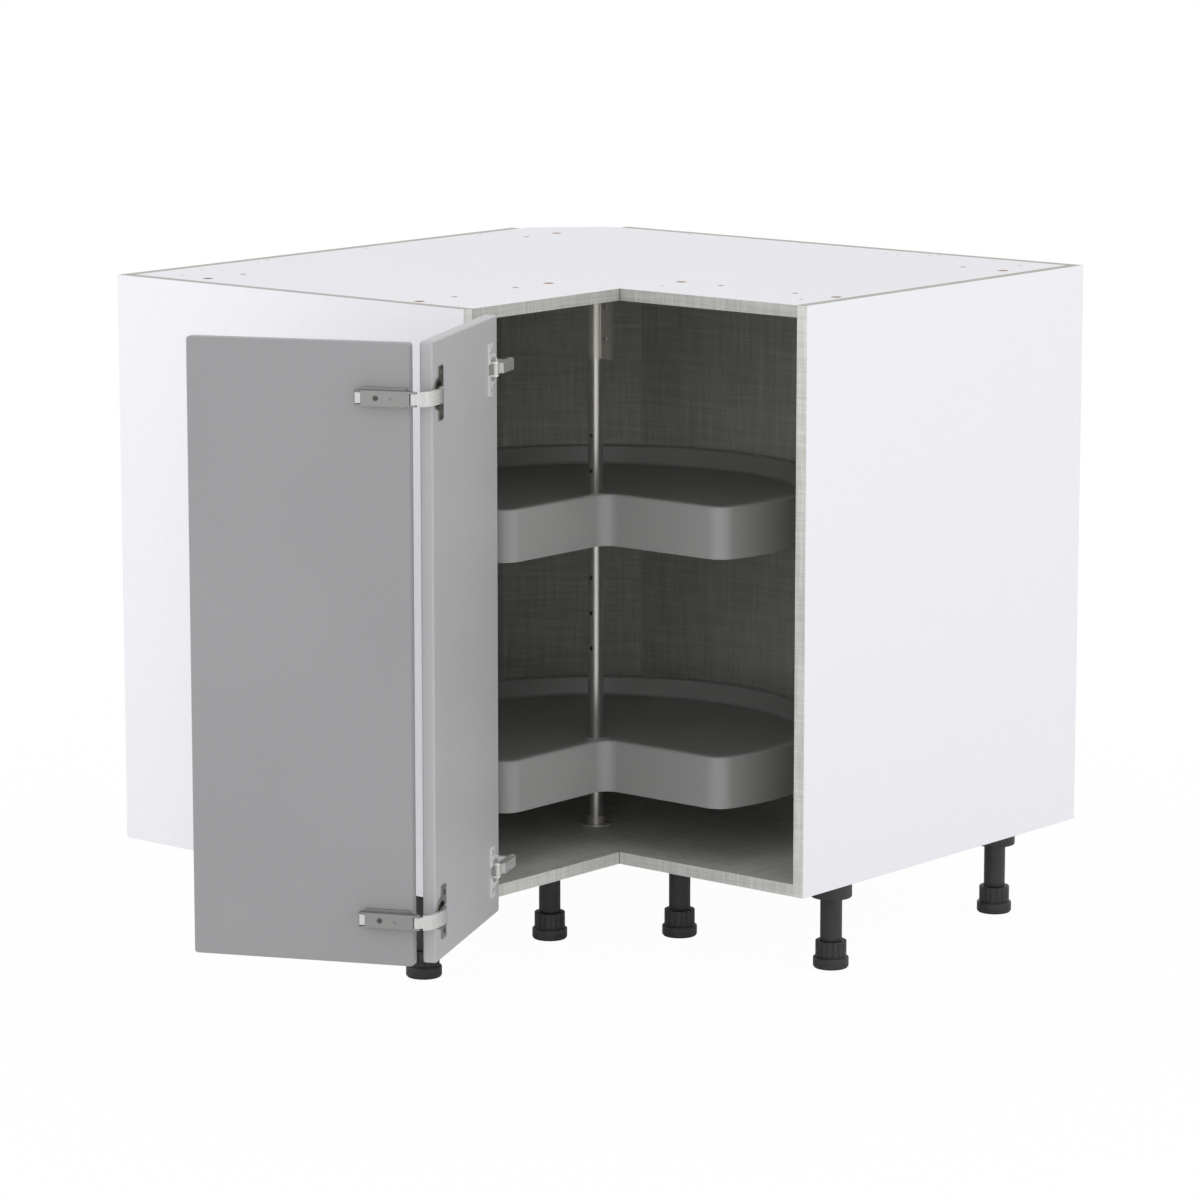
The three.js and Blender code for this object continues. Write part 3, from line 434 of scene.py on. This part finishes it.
def paintBoards():
    leftEnd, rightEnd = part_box("left_end_panel"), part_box("right_end_panel")
    leftBack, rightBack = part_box("left_back_panel"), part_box("right_back_panel")
    bottom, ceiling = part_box("bottom_board_left"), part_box("top_board_left")
    leftFront, rightFront = ("X", leftEnd[1].x), ("Y", rightEnd[0].y)
    low, top = ("Z", leftEnd[0].z), ("Z", leftEnd[1].z)
    inside = ("Z", ceiling[0].z)
    looks = {
        "left_end_panel": ([("Y", leftEnd[0].y)], [("Y", leftEnd[1].y), leftFront], top),
        "right_end_panel": ([("X", rightEnd[1].x)], [("X", rightEnd[0].x), rightFront], top),
        "left_back_panel": ([("X", leftBack[0].x)], [("X", leftBack[1].x)], top),
        "right_back_panel": ([("Y", rightBack[1].y)], [("Y", rightBack[0].y)], top),
        "corner_back_panel": ([], [], None),
        "bottom_board_left": ([low], [("Z", bottom[1].z), leftFront, rightFront], None),
        "bottom_board_right": ([low], [("Z", bottom[1].z), rightFront], None),
        "top_board_left": ([top], [inside, leftFront, rightFront], None),
        "top_board_right": ([top], [inside, rightFront], None),
    }
    for node, planes in looks.items():
        turn = math.pi / 4 if node == "corner_back_panel" else 0.0
        paint(nodes[node], boardMaterial(node, *planes, (leftFront, rightFront), turn))


# the two leaves are one laminate in two tones: the hinged leaf painted paler as painted light, the folding leaf
# darker as painted shade
doorPaintedLightTones = {"hinged_door_leaf": (175, 175, 177), "folding_door_leaf": (143, 143, 145)}
trayTone = (145, 145, 144)
legTone = (38, 38, 39)

# even finishes: the size of the grain and of the slow drift between two close tones
evenLooks = {
    "door": {"grain": 900.0, "drift": 3.0, "bump": 0.05, "paler": 4,
             "surface": {"Roughness": 0.42, "Coat_Weight": 0.15, "Coat_Roughness": 0.35}},
    "tray": {"grain": 1600.0, "drift": 5.0, "bump": 0.12, "paler": 6, "surface": {"Roughness": 0.38}},
    "leg": {"grain": 1400.0, "drift": 30.0, "bump": 0.15, "paler": 9, "surface": {"Roughness": 0.5}},
}


def evenMaterial(name, look, tone):
    # satin lacquer's orange-peel, or a moulding's spark-eroded grain
    shader = Shader(name, **look["surface"])
    grain = shader.noise(shader.coordinates, look["grain"], 3.0)
    drift = shader.noise(shader.coordinates, look["drift"], 2.0)
    pale = tuple(part + look["paler"] for part in tone)
    shader.set("Base Color", shader.blend(shader.clouds(drift), tone, pale))
    shader.bump(grain, look["bump"], 0.0003)
    return shader.material


drawnUp = (1500.0, 1500.0, 8.0)  # streaks to the metre each way
allWays = (1800.0, 1800.0, 1800.0)
steelLooks = {
    "pole": {"tone": (208, 206, 203), "metal": 0.86, "roughness": 0.3, "drawn": drawnUp, "streak": 0.94},
    "arm": {"tone": (222, 222, 220), "metal": 0.45, "roughness": 0.34, "drawn": allWays, "streak": 0.97},
    # the fold hinge's arm, plate and cup: the hinges' nickel painted darker, a painted reflection of the cabinet's
    # dark inside
    "foldArmShaded": {"tone": (150, 150, 149), "metal": 1.0, "roughness": 0.36, "drawn": allWays, "streak": 0.96},
    "cup": {"tone": (235, 235, 233), "metal": 0.3, "roughness": 0.3, "drawn": allWays, "streak": 0.97},
    "foldCupShaded": {"tone": (168, 168, 162), "metal": 1.0, "roughness": 0.3, "drawn": allWays, "streak": 0.96},
    "link": {"tone": (210, 210, 208), "metal": 0.65, "roughness": 0.28, "drawn": allWays, "streak": 0.97},
    "bracket": {"tone": (204, 199, 192), "metal": 0.65, "roughness": 0.34, "drawn": drawnUp, "streak": 0.94},
    "screw": {"tone": (186, 186, 184), "metal": 0.8, "roughness": 0.34, "drawn": allWays, "streak": 0.95},
    "darkScrew": {"tone": (92, 90, 87), "metal": 0.8, "roughness": 0.42, "drawn": allWays, "streak": 0.95},
}
hingeFinish = {
    "hinge_arm": "arm", "hinge_plate": "arm", "hinge_cup": "cup", "inner_link": "link", "outer_link": "link",
    "hinge_clip": "arm", "fold_arm": "foldArmShaded", "fold_plate": "foldArmShaded", "fold_cup": "foldCupShaded",
    "fold_link": "link", "fold_clip": "link", "tray_collar": "screw", "collar_screw": "screw",
}


def steelMaterial(name):
    # drawn or plated metal: fine streaks along the way it was drawn
    look = steelLooks[name]
    tone, roughness = look["tone"], look["roughness"]
    shader = Shader(name + "_steel", Metallic=look["metal"], Roughness=roughness)
    streak = shader.noise(shader.stretched(look["drawn"]), detail=3.0)
    shader.set("Base Color", shader.blend(shader.clouds(streak), toned(tone, look["streak"]), tone))
    shader.set("Roughness", shader.spread(streak, 0.2, 0.8, roughness * 0.85, roughness * 1.15))
    shader.bump(streak, 0.03, 0.0002)
    return shader.material


cameraPlace = {
    "spot": (4.1897, -4.8299, 1.5998),
    "azimuth": 39.869,
    "tilt": 10.144,
    "lens": 147.776,
    "sensor": 36.0,
    "farthest": 50,
}


def addCamera(place):
    data = bpy.data.cameras.new("camera")
    data.lens = place["lens"]
    data.sensor_width = place["sensor"]
    data.sensor_fit = "HORIZONTAL"
    data.clip_end = place["farthest"]
    camera = bpy.data.objects.new("camera", data)
    bpy.context.scene.collection.objects.link(camera)
    camera.location = place["spot"]
    camera.rotation_euler = (math.radians(90 - place["tilt"]), 0, math.radians(place["azimuth"]))
    bpy.context.scene.camera = camera


floorLook = {
    "half": 9.0,
    "drop": 0.0005,
    "tone": 0.9,
    "fadeFrom": 0.9,  # distance from the middle where the plain white starts to take over
    "fadeTo": 2.2,
    "nearWhite": 0.97,
}


def addFloor(look):
    # pale floor that keeps the object's soft shadow near it and is plain white further out
    half = look["half"]
    corners = np.array([(-half, -half, 0), (half, -half, 0), (half, half, 0), (-half, half, 0)])
    floor = makeMesh("floor", corners, [[0, 1, 2, 3]], smooth=False)
    floor.location.z = -look["drop"]
    material = bpy.data.materials.new("floor")
    material.use_nodes = True
    tree = material.node_tree
    tree.nodes.clear()
    path = tree.nodes.new("ShaderNodeLightPath")
    place = tree.nodes.new("ShaderNodeTexCoord")
    away = tree.nodes.new("ShaderNodeVectorMath")
    away.operation = "LENGTH"
    tree.links.new(place.outputs["Object"], away.inputs[0])
    fade = tree.nodes.new("ShaderNodeMapRange")
    fade.inputs["From Min"].default_value = look["fadeFrom"]
    fade.inputs["From Max"].default_value = look["fadeTo"]
    fade.inputs["To Min"].default_value = look["nearWhite"]
    tree.links.new(away.outputs["Value"], fade.inputs["Value"])
    matt = tree.nodes.new("ShaderNodeBsdfDiffuse")
    matt.inputs["Color"].default_value = (look["tone"], look["tone"], look["tone"], 1)
    glow = tree.nodes.new("ShaderNodeEmission")
    glow.inputs["Color"].default_value = (1, 1, 1, 1)
    glow.inputs["Strength"].default_value = 1.0
    mix = tree.nodes.new("ShaderNodeMixShader")
    seen = tree.nodes.new("ShaderNodeMath")
    seen.operation = "MULTIPLY"
    tree.links.new(fade.outputs[0], seen.inputs[1])
    tree.links.new(path.outputs["Is Camera Ray"], seen.inputs[0])
    tree.links.new(seen.outputs[0], mix.inputs[0])
    tree.links.new(matt.outputs[0], mix.inputs[1])
    tree.links.new(glow.outputs[0], mix.inputs[2])
    out = tree.nodes.new("ShaderNodeOutputMaterial")
    tree.links.new(mix.outputs[0], out.inputs["Surface"])
    floor.data.materials.append(material)


lightPlan = {
    "frontLeft": {"spot": (2.6, -4.4, 1.6), "aim": (0.0, 0.0, 0.45), "size": 2.2, "power": 24},
    "side": {"spot": (4.6, 0.8, 1.8), "aim": (0.0, 0.0, 0.45), "size": 2.2, "power": 22},
    "left": {"spot": (-3.0, -3.8, 2.2), "aim": (-0.2, -0.2, 0.45), "size": 2.6, "power": 40},
}
skyLook = {"horizon": 1.0, "zenith": 0.83, "seen": 1.0}


def addLights(plan):
    for name, light in plan.items():
        data = bpy.data.lights.new(name, "AREA")
        data.shape = "SQUARE"
        data.size = light["size"]
        data.energy = light["power"]
        lamp = bpy.data.objects.new(name, data)
        bpy.context.scene.collection.objects.link(lamp)
        lamp.location = light["spot"]
        away = Vector(light["spot"]) - Vector(light["aim"])
        lamp.rotation_euler = away.to_track_quat("Z", "Y").to_euler()


def addWorld(look):
    # a pale studio all round, a little dimmer overhead; seen and mirrored it is plain white
    world = bpy.data.worlds.new("studio")
    bpy.context.scene.world = world
    world.use_nodes = True
    tree = world.node_tree
    tree.nodes.clear()
    path = tree.nodes.new("ShaderNodeLightPath")
    seen = tree.nodes.new("ShaderNodeMath")
    seen.operation = "MAXIMUM"
    tree.links.new(path.outputs["Is Camera Ray"], seen.inputs[0])
    tree.links.new(path.outputs["Is Glossy Ray"], seen.inputs[1])
    seenAll = tree.nodes.new("ShaderNodeMath")
    seenAll.operation = "MAXIMUM"
    tree.links.new(seen.outputs[0], seenAll.inputs[0])
    tree.links.new(path.outputs["Is Transmission Ray"], seenAll.inputs[1])
    direction = tree.nodes.new("ShaderNodeTexCoord")
    upward = tree.nodes.new("ShaderNodeSeparateXYZ")
    tree.links.new(direction.outputs["Generated"], upward.inputs[0])
    fade = tree.nodes.new("ShaderNodeMapRange")
    fade.inputs["To Min"].default_value = look["horizon"]
    fade.inputs["To Max"].default_value = look["zenith"]
    tree.links.new(upward.outputs["Z"], fade.inputs["Value"])
    strength = tree.nodes.new("ShaderNodeMapRange")
    strength.inputs["To Max"].default_value = look["seen"]
    tree.links.new(fade.outputs[0], strength.inputs["To Min"])
    tree.links.new(seenAll.outputs[0], strength.inputs["Value"])
    sky = tree.nodes.new("ShaderNodeBackground")
    sky.inputs["Color"].default_value = (1, 1, 1, 1)
    tree.links.new(strength.outputs[0], sky.inputs["Strength"])
    out = tree.nodes.new("ShaderNodeOutputWorld")
    tree.links.new(sky.outputs[0], out.inputs["Surface"])


addCamera(cameraPlace)
addWorld(skyLook)
addLights(lightPlan)
addFloor(floorLook)
bpy.context.scene.view_settings.view_transform = "Standard"
print("stage set")


trayShape = {
    "radius": 0.308,
    "notch": 0.100,
    "corner": 0.028,
    "hollow": 0.022,
    "rim": 0.015,
    "round": 0.0032,
    "well": 0.026,
    "wallLean": 0.0015,
    "wellRound": 0.006,
    "wellShelf": 0.010,
    "floor": 0.004,
    "floorRing": 0.060,
    "skirt": 0.068,
    "skin": 0.003,
    "skinEase": 0.002,
    "lipEase": 0.0008,
    "bossRadius": 0.0195,
    "bossRise": 0.002,
    "bossEase": 0.0005,
    "boreRadius": 0.0108,
    "boreTaper": 0.0002,
    "sleeveRadius": 0.0175,
    "sleeveDrop": 0.020,
    "bearingInset": 0.0175,
    "arcSteps": 168,
    "filletSteps": 14,
    "sharpAngle": math.radians(38),
}


def trayOutline(inset, shape):
    # a circle about the pole with a square notch, every corner rounded, all drawn in by the inset
    radius = shape["radius"] - inset
    notch = shape["notch"] - inset
    corner = shape["corner"] - inset
    hollow = shape["hollow"] + inset
    reach = math.sqrt((radius - corner) ** 2 - (notch - corner) ** 2)
    tilt = math.atan2(notch - corner, reach)
    quarter = math.pi / 2

    def arc(x, y, r, start, end, steps):
        angle = np.linspace(start, end, steps + 1)
        return np.stack([x + r * np.cos(angle), y + r * np.sin(angle)], axis=-1)

    steps = shape["filletSteps"]
    return np.concatenate([
        arc(0, 0, radius, -tilt, 3 * quarter + tilt, shape["arcSteps"]),
        arc(notch - corner, -reach, corner, -quarter + tilt, 0, steps)[1:],
        arc(notch + hollow, -notch - hollow, hollow, 2 * quarter, quarter, steps),
        arc(reach, corner - notch, corner, -quarter, -tilt, steps)[:-1],
    ])


def trayShell(name, node, shape):
    # rings of the outline carried through a profile of inset and height, closed on itself; the
    # innermost rings are circles round the hub
    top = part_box(node + "_rim")[1].z
    centre = jointAt[node + "_turn"][:2]
    well, skirt, rim = shape["well"], shape["skirt"], shape["rim"]
    skin, ease, lip = shape["skin"], shape["skinEase"], shape["lipEase"]
    lean, shelf = shape["wallLean"], shape["wellShelf"]
    floor, under = -well, -well - shape["floor"]
    base = trayOutline(shape["bearingInset"], shape)
    bearing = np.arctan2(base[:, 1], base[:, 0])

    def outlineRing(inset, z):
        return np.column_stack([trayOutline(inset, shape), np.full(len(base), z)])

    def hubRing(radius, z):
        return np.column_stack([radius * np.cos(bearing), radius * np.sin(bearing), np.full(len(bearing), z)])

    outside = filletPoints([
        (0, -skirt, 0), (0, 0, shape["round"]), (rim, 0, shape["round"]),
        (rim + lean, -well, shape["wellRound"]), (rim + shelf, -well, 0),
    ], 6)
    boss, rise, bossEase = shape["bossRadius"], shape["bossRise"], shape["bossEase"]
    bore, sleeve, drop = shape["boreRadius"], shape["sleeveRadius"], shape["sleeveDrop"]
    hub = [
        (shape["floorRing"], floor), (boss, floor), (boss - bossEase, floor + rise - bossEase),
        (boss - 2 * bossEase, floor + rise), (bore, floor + rise), (bore - shape["boreTaper"], under - drop),
        (sleeve, under - drop), (sleeve, under), (shape["floorRing"], under),
    ]
    inside = [
        (rim + lean * 2 / 3 - skin, under), (rim - skin, -skin - ease), (rim - skin - ease, -skin),
        (skin + ease, -skin), (skin, -skin - ease), (skin, -skirt + lip), (lip, -skirt),
    ]
    rings = [outlineRing(*spot) for spot in outside]
    rings += [hubRing(*spot) for spot in hub]
    rings += [outlineRing(*spot) for spot in inside]
    points = np.array(rings) + np.array([*centre, top])
    piece = makeMesh(name, points, gridFaces(len(points), len(base), closeRows=True))
    piece.data.set_sharp_from_angle(angle=shape["sharpAngle"])
    return standFor(piece, node + "_rim", node + "_floor")


def addTrays():
    material = evenMaterial("tray_plastic", evenLooks["tray"], trayTone)
    for node in ("upper_tray", "lower_tray"):
        paint(trayShell(node + "_shell", node, trayShape), material)


poleShape = {
    "facets": 96,
    "wall": 0.0016,
    "ease": 0.0004,
    "holeRadius": 0.0028,
    "holeFacets": 24,
    "firstHole": 0.373,
    "holePitch": 0.048,
    "holeCount": 7,
    "drillPast": 0.003,
    "sharpAngle": math.radians(30),
}


def addPole(shape, material):
    # a tube turned from a closed profile; its adjusting holes are cut right through towards the front
    low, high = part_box("pole")
    x, y = (low.x + high.x) / 2, (low.y + high.y) / 2
    radius = (high.x - low.x) / 2
    bore = radius - shape["wall"]
    ease = shape["ease"]
    profile = [(bore + ease, low.z), (radius - ease, low.z), (radius, low.z + ease), (radius, high.z - ease),
               (radius - ease, high.z), (bore + ease, high.z), (bore, high.z - ease), (bore, low.z + ease)]
    points = turnedPoints(profile, fullTurn(shape["facets"]), (x, y, 0))
    pole = makeMesh("pole_tube", points, gridFaces(len(points), shape["facets"], closeRows=True))
    count = shape["holeFacets"]
    angle = fullTurn(count)
    reach = radius + shape["drillPast"]
    cutters = []
    faces = []
    for index in range(shape["holeCount"]):
        z = shape["firstHole"] + shape["holePitch"] * index
        for side in (-1, 1):
            ring = np.stack([x + shape["holeRadius"] * np.cos(angle), np.full(count, y + side * reach),
                             z + shape["holeRadius"] * np.sin(angle)], axis=-1)
            cutters.append(ring)
        start = 2 * index * count
        faces += gridFaces(2, count, start=start)
        faces.append(list(range(start, start + count)))
        faces.append(list(range(start + 2 * count - 1, start + count - 1, -1)))
    cutter = weld(makeMesh("pole_cutter", np.concatenate(cutters), faces, smooth=False), 1e-7)
    drill = pole.modifiers.new("holes", "BOOLEAN")
    drill.operation = "DIFFERENCE"
    drill.object = cutter
    drill.solver = "EXACT"
    applyModifiers(pole)
    bpy.data.objects.remove(cutter)
    pole.data.polygons.foreach_set("use_smooth", np.full(len(pole.data.polygons), True))
    pole.data.set_sharp_from_angle(angle=shape["sharpAngle"])
    standFor(pole, "pole")
    paint(pole, material)


# the lists are corners of a profile: radius, height and rounding
legShape = {
    "facets": 96,
    "shaftRadius": 0.0143,
    "spigotRadius": 0.0070,
    "collarRadius": 0.0203,
    "boreMouth": 0.0004,  # rounding of the shaft's lower end, inside and outside, and of the spigot's tip
    "shaftFoot": 0.0008,
    "spigotTip": 0.0005,
    "bore": [(0, 0.0743, 0), (0.0075, 0.0743, 0)],
    "flange": [(0.0143, 0.0943, 0.002), (0.0260, 0.0943, 0.0008), (0.0270, 0.0955, 0.0008),
               (0.0270, 0.1140, 0.0006), (0.0070, 0.1140, 0.0003)],
    "pad": [(0, 0, 0), (0.0215, 0, 0.0010), (0.0233, 0.0024, 0.0012), (0.0233, 0.0133, 0.0005),
            (0.0226, 0.0143, 0.0004), (0.0197, 0.0145, 0.0003), (0.0197, 0.0156, 0.0003)],
    "collarFoot": 0.0164,
    "collarTop": [(0.0203, 0.0353, 0.0003), (0.0198, 0.0360, 0.0003)],
    "spindle": [(0.0070, 0.0360, 0.0004), (0.0070, 0.0740, 0.0006), (0, 0.0740, 0)],
    "ribs": 16,
    "grooveDepth": 0.0009,
    "grooveFoot": 0.012,  # half widths of a groove in radians, at its foot and at its mouth
    "grooveMouth": 0.024,
    "grooveLow": 0.0170,
    "grooveHigh": 0.0346,
    "grooveEnd": 0.0002,
    "flatSteps": 7,
    "bodySharp": math.radians(40),
    "footSharp": math.radians(35),
}


def legBody(name, low, high, centre, shape):
    # the bore that the spindle runs in, the shaft, the flange and the spigot in the board
    boreRadius = shape["bore"][1][0]
    corners = [
        *shape["bore"],
        (boreRadius, low.z, shape["boreMouth"]),
        (shape["shaftRadius"], low.z, shape["shaftFoot"]),
        *shape["flange"],
        (shape["spigotRadius"], high.z, shape["spigotTip"]),
        (0, high.z, 0),
    ]
    piece = turnedPiece(name, filletPoints(corners, 5), fullTurn(shape["facets"]), centre)
    piece.data.set_sharp_from_angle(angle=shape["bodySharp"])
    return piece


def levellingFoot(name, centre, shape):
    # pad, ribbed collar and spindle; flat ribs on the collar only, parted by narrow upright grooves
    pitch = 2 * math.pi / shape["ribs"]
    foot, mouth, end = shape["grooveFoot"], shape["grooveMouth"], shape["grooveEnd"]
    low, high = shape["grooveLow"], shape["grooveHigh"]
    cell = np.concatenate([[-foot, foot], np.linspace(mouth, pitch - mouth, shape["flatSteps"])])
    ribAngles = (np.arange(shape["ribs"])[:, None] * pitch + cell).ravel()

    def grooved(profile, angle):
        height = profile[:, 1:2]
        zone = (height > low - hair) & (height < high + hair)
        offset = np.abs((angle + pitch / 2) % pitch - pitch / 2)
        return zone * np.where(offset < foot * 1.01, -shape["grooveDepth"], 0.0)

    collar = [(shape["collarRadius"], z, 0) for z in (shape["collarFoot"], low - end, low, high, high + end)]
    corners = [*shape["pad"], *collar, *shape["collarTop"], *shape["spindle"]]
    piece = turnedPiece(name, filletPoints(corners, 4), ribAngles, centre, grooved)
    piece.data.set_sharp_from_angle(angle=shape["footSharp"])
    return piece


def addLegs(shape):
    material = evenMaterial("leg_plastic", evenLooks["leg"], legTone)
    for index in range(1, 8):
        low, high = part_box(f"leg_body_{index}")
        centre = ((low.x + high.x) / 2, (low.y + high.y) / 2, 0)
        paint(standFor(legBody(f"leg_{index}", low, high, centre, shape), f"leg_body_{index}"), material)
        foot = standFor(levellingFoot(f"foot_{index}", centre, shape), f"levelling_foot_{index}")
        paint(foot, material)


screwShape = {
    "rings": 12,
    "columns": 48,
    "crossWidth": 0.16,  # the slots' half width and half length, and their depth, as shares of the head
    "crossLength": 0.62,
    "crossDepth": 0.55,
    "widthEase": 0.08,
    "lengthEase": 0.15,
    "sink": 0.0002,
    "sharpAngle": math.radians(40),
}


def screwPoints(spot, normal, radius, height, turn, shape):
    # a dome, height times the root of 1 less the square of the reach from its middle, with two crossed
    # slots pressed into it; it stands on the spot along the normal, closed underneath by a flat disc
    reach = np.linspace(0, 1, shape["rings"])[:, None]
    angle = fullTurn(shape["columns"])[None, :]
    across, along = reach * np.cos(angle), reach * np.sin(angle)
    slotWide, slotLong = shape["crossWidth"], shape["crossLength"]

    def slot(wide, long):
        edge = np.clip((slotWide - np.abs(wide)) / shape["widthEase"], 0, 1)
        return edge * np.clip((slotLong - np.abs(long)) / shape["lengthEase"], 0, 1)

    cross = np.maximum(slot(across, along), slot(along, across))
    dome = np.sqrt(np.clip(1 - reach ** 2, 0, 1)) * np.ones_like(angle)
    lift = height * (dome - shape["crossDepth"] * cross)
    lift = np.maximum(lift, -shape["sink"] / 2)
    lift[-1] = -shape["sink"]
    flat = np.zeros((1, shape["columns"]))
    across = np.concatenate([across, flat]) * radius
    along = np.concatenate([along, flat]) * radius
    lift = np.concatenate([lift, flat - shape["sink"]])
    normal = Vector(normal).normalized()
    side = normal.cross(Vector((0, 0, 1)) if abs(normal.z) < 0.9 else Vector((1, 0, 0))).normalized()
    other = normal.cross(side)
    first = side * math.cos(turn) + other * math.sin(turn)
    second = other * math.cos(turn) - side * math.sin(turn)
    axes = np.array([first, second, normal])
    return np.stack([across, along, lift], axis=-1) @ axes + np.array(spot)


def addScrews(name, node, heads, material, shape=screwShape):
    # one piece for all the heads on a node: place, way they face, radius, height and turn of the cross
    rows, columns = shape["rings"] + 1, shape["columns"]
    points = []
    faces = []
    for index, head in enumerate(heads):
        points.append(screwPoints(*head, shape))
        faces += gridFaces(rows, columns, start=index * rows * columns)
    piece = weld(makeMesh(name, np.concatenate([grid.reshape(-1, 3) for grid in points]), faces), 1e-7)
    piece.data.set_sharp_from_angle(angle=shape["sharpAngle"])
    paint(addTo(piece, node), material)


# pins are places on the plan, with the door as it stands open; ways are unit arrows on the plan
hingeShape = {
    "leafAlong": (0.4242, -0.9056),
    "leafOff": (0.9056, 0.4242),
    "foldAlong": (-0.9056, -0.4242),
    "foldOff": (0.4242, -0.9056),
    "swingCupPin": (0.215158, -0.273045),
    "foldCupPin": (0.314646, -0.486609),
    "swingPin": (0.136, -0.23475),
    "foldPin": (0.322158, -0.542721),
    "swingWing": (-0.0019, -0.0045),  # from the cup's pin to the wing's middle: along the leaf, off it
    "foldWing": (-0.0018, -0.0040),
    "wingScrewReach": 0.0102,
    "wingScrewRise": 0.024,
    "wingTop": 0.0015,
    "wingScrew": (0.0037, 0.0014),
    "wingScrewTurn": 0.4,
    "armScrewReach": 0.047,
    "armScrewTurn": 0.5,
    "armScrew": (0.0031, 0.0011),
    "swingArmFloor": 0.0021,
    "foldArmFloor": 0.0003,
    "edge": 0.0003,
}


def leafPoint(pin, shift, lift, along, off, z):
    # a place on a leaf, given from a pin by its run along the leaf and its height off it
    return (pin[0] + along[0] * shift + off[0] * lift, pin[1] + along[1] * shift + off[1] * lift, z)


def addHingeScrews(height, finish, shape):
    # two screws in a cup's wings, and one through each arm
    cupLow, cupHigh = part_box(height + "_hinge_cup")
    z = (cupLow.z + cupHigh.z) / 2
    along, off = shape["leafAlong"], shape["leafOff"]
    wings = (
        ("hinge_cup", shape["swingCupPin"], shape["swingWing"], 1, "screw"),
        ("fold_cup", shape["foldCupPin"], shape["foldWing"], -1, "darkScrew"),
    )
    for part, pin, (shift, lift), way, look in wings:
        shift += way * shape["wingScrewReach"]
        lift += shape["wingTop"]
        heads = []
        for side in (-1, 1):
            spot = leafPoint(pin, shift, lift, along, off, z + side * shape["wingScrewRise"])
            heads.append((spot, (*off, 0), *shape["wingScrew"], shape["wingScrewTurn"] * side))
        addScrews(f"{height}_{part}_screws", f"{height}_{part}", heads, finish[look])
    arms = (
        ("hinge_arm", shape["swingPin"], (-1, 0), (0, 1), shape["swingArmFloor"]),
        ("fold_arm", shape["foldPin"], shape["foldAlong"], shape["foldOff"], shape["foldArmFloor"]),
    )
    for part, pin, way, up, lift in arms:
        spot = leafPoint(pin, shape["armScrewReach"], lift, way, up, z)
        heads = [(spot, (*up, 0), *shape["armScrew"], shape["armScrewTurn"])]
        addScrews(f"{height}_{part}_screw", f"{height}_{part}", heads, finish["darkScrew"])


def addHinges(finish, shape):
    for height in ("upper", "lower"):
        for part, name in hingeFinish.items():
            paint(softenedCopy(f"{height}_{part}", f"{height}_{part}_eased", shape["edge"]), finish[name])
        addHingeScrews(height, finish, shape)


footingShape = {
    "baseScrewReach": 0.0172,
    "baseScrewTurn": math.radians(20),
    "baseTop": 0.003,
    "plateHalf": 0.025,
    "plateInset": 0.006,
    "screw": (0.0034, 0.0013),
    "edge": 0.0004,
}


def addPoleFittings(finish, shape):
    edge, screw = shape["edge"], finish["screw"]
    for part in ("pole_base", "pole_top_bracket"):
        paint(softenedCopy(part, part + "_eased", edge), finish["bracket"])
    for index in (1, 2):
        paint(softenedCopy(f"clamp_screw_{index}", f"clamp_screw_{index}_eased", edge), screw)
    low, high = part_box("pole_base")
    x, y, z = (low.x + high.x) / 2, (low.y + high.y) / 2, low.z + shape["baseTop"]
    reach = shape["baseScrewReach"]
    heads = []
    for angle in fullTurn(3) + shape["baseScrewTurn"]:
        spot = (x + reach * math.cos(angle), y + reach * math.sin(angle), z)
        heads.append((spot, (0, 0, 1), *shape["screw"], angle))
    addScrews("pole_base_screws", "pole_base", heads, screw)
    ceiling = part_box("pole_top_bracket")[1].z - shape["baseTop"]
    half = shape["plateHalf"] - shape["plateInset"]
    heads = [((x + half * side, y + half * end, ceiling), (0, 0, -1), *shape["screw"], side * end)
             for side in (-1, 1) for end in (-1, 1)]
    addScrews("top_bracket_screws", "pole_top_bracket", heads, screw)


paintBoards()
print("boards painted")
# each leaf is painted its own tone of painted light and shade
for leafNode, leafPaintedTone in doorPaintedLightTones.items():
    paint(nodes[leafNode], evenMaterial("door_painted_light_" + leafNode, evenLooks["door"], leafPaintedTone))
addTrays()
print("trays made")
steels = {name: steelMaterial(name) for name in steelLooks}
addPole(poleShape, steels["pole"])
print("pole made")
addLegs(legShape)
print("legs made")
addHinges(steels, hingeShape)
print("hinges made")
addPoleFittings(steels, footingShape)
print("pole fittings made")
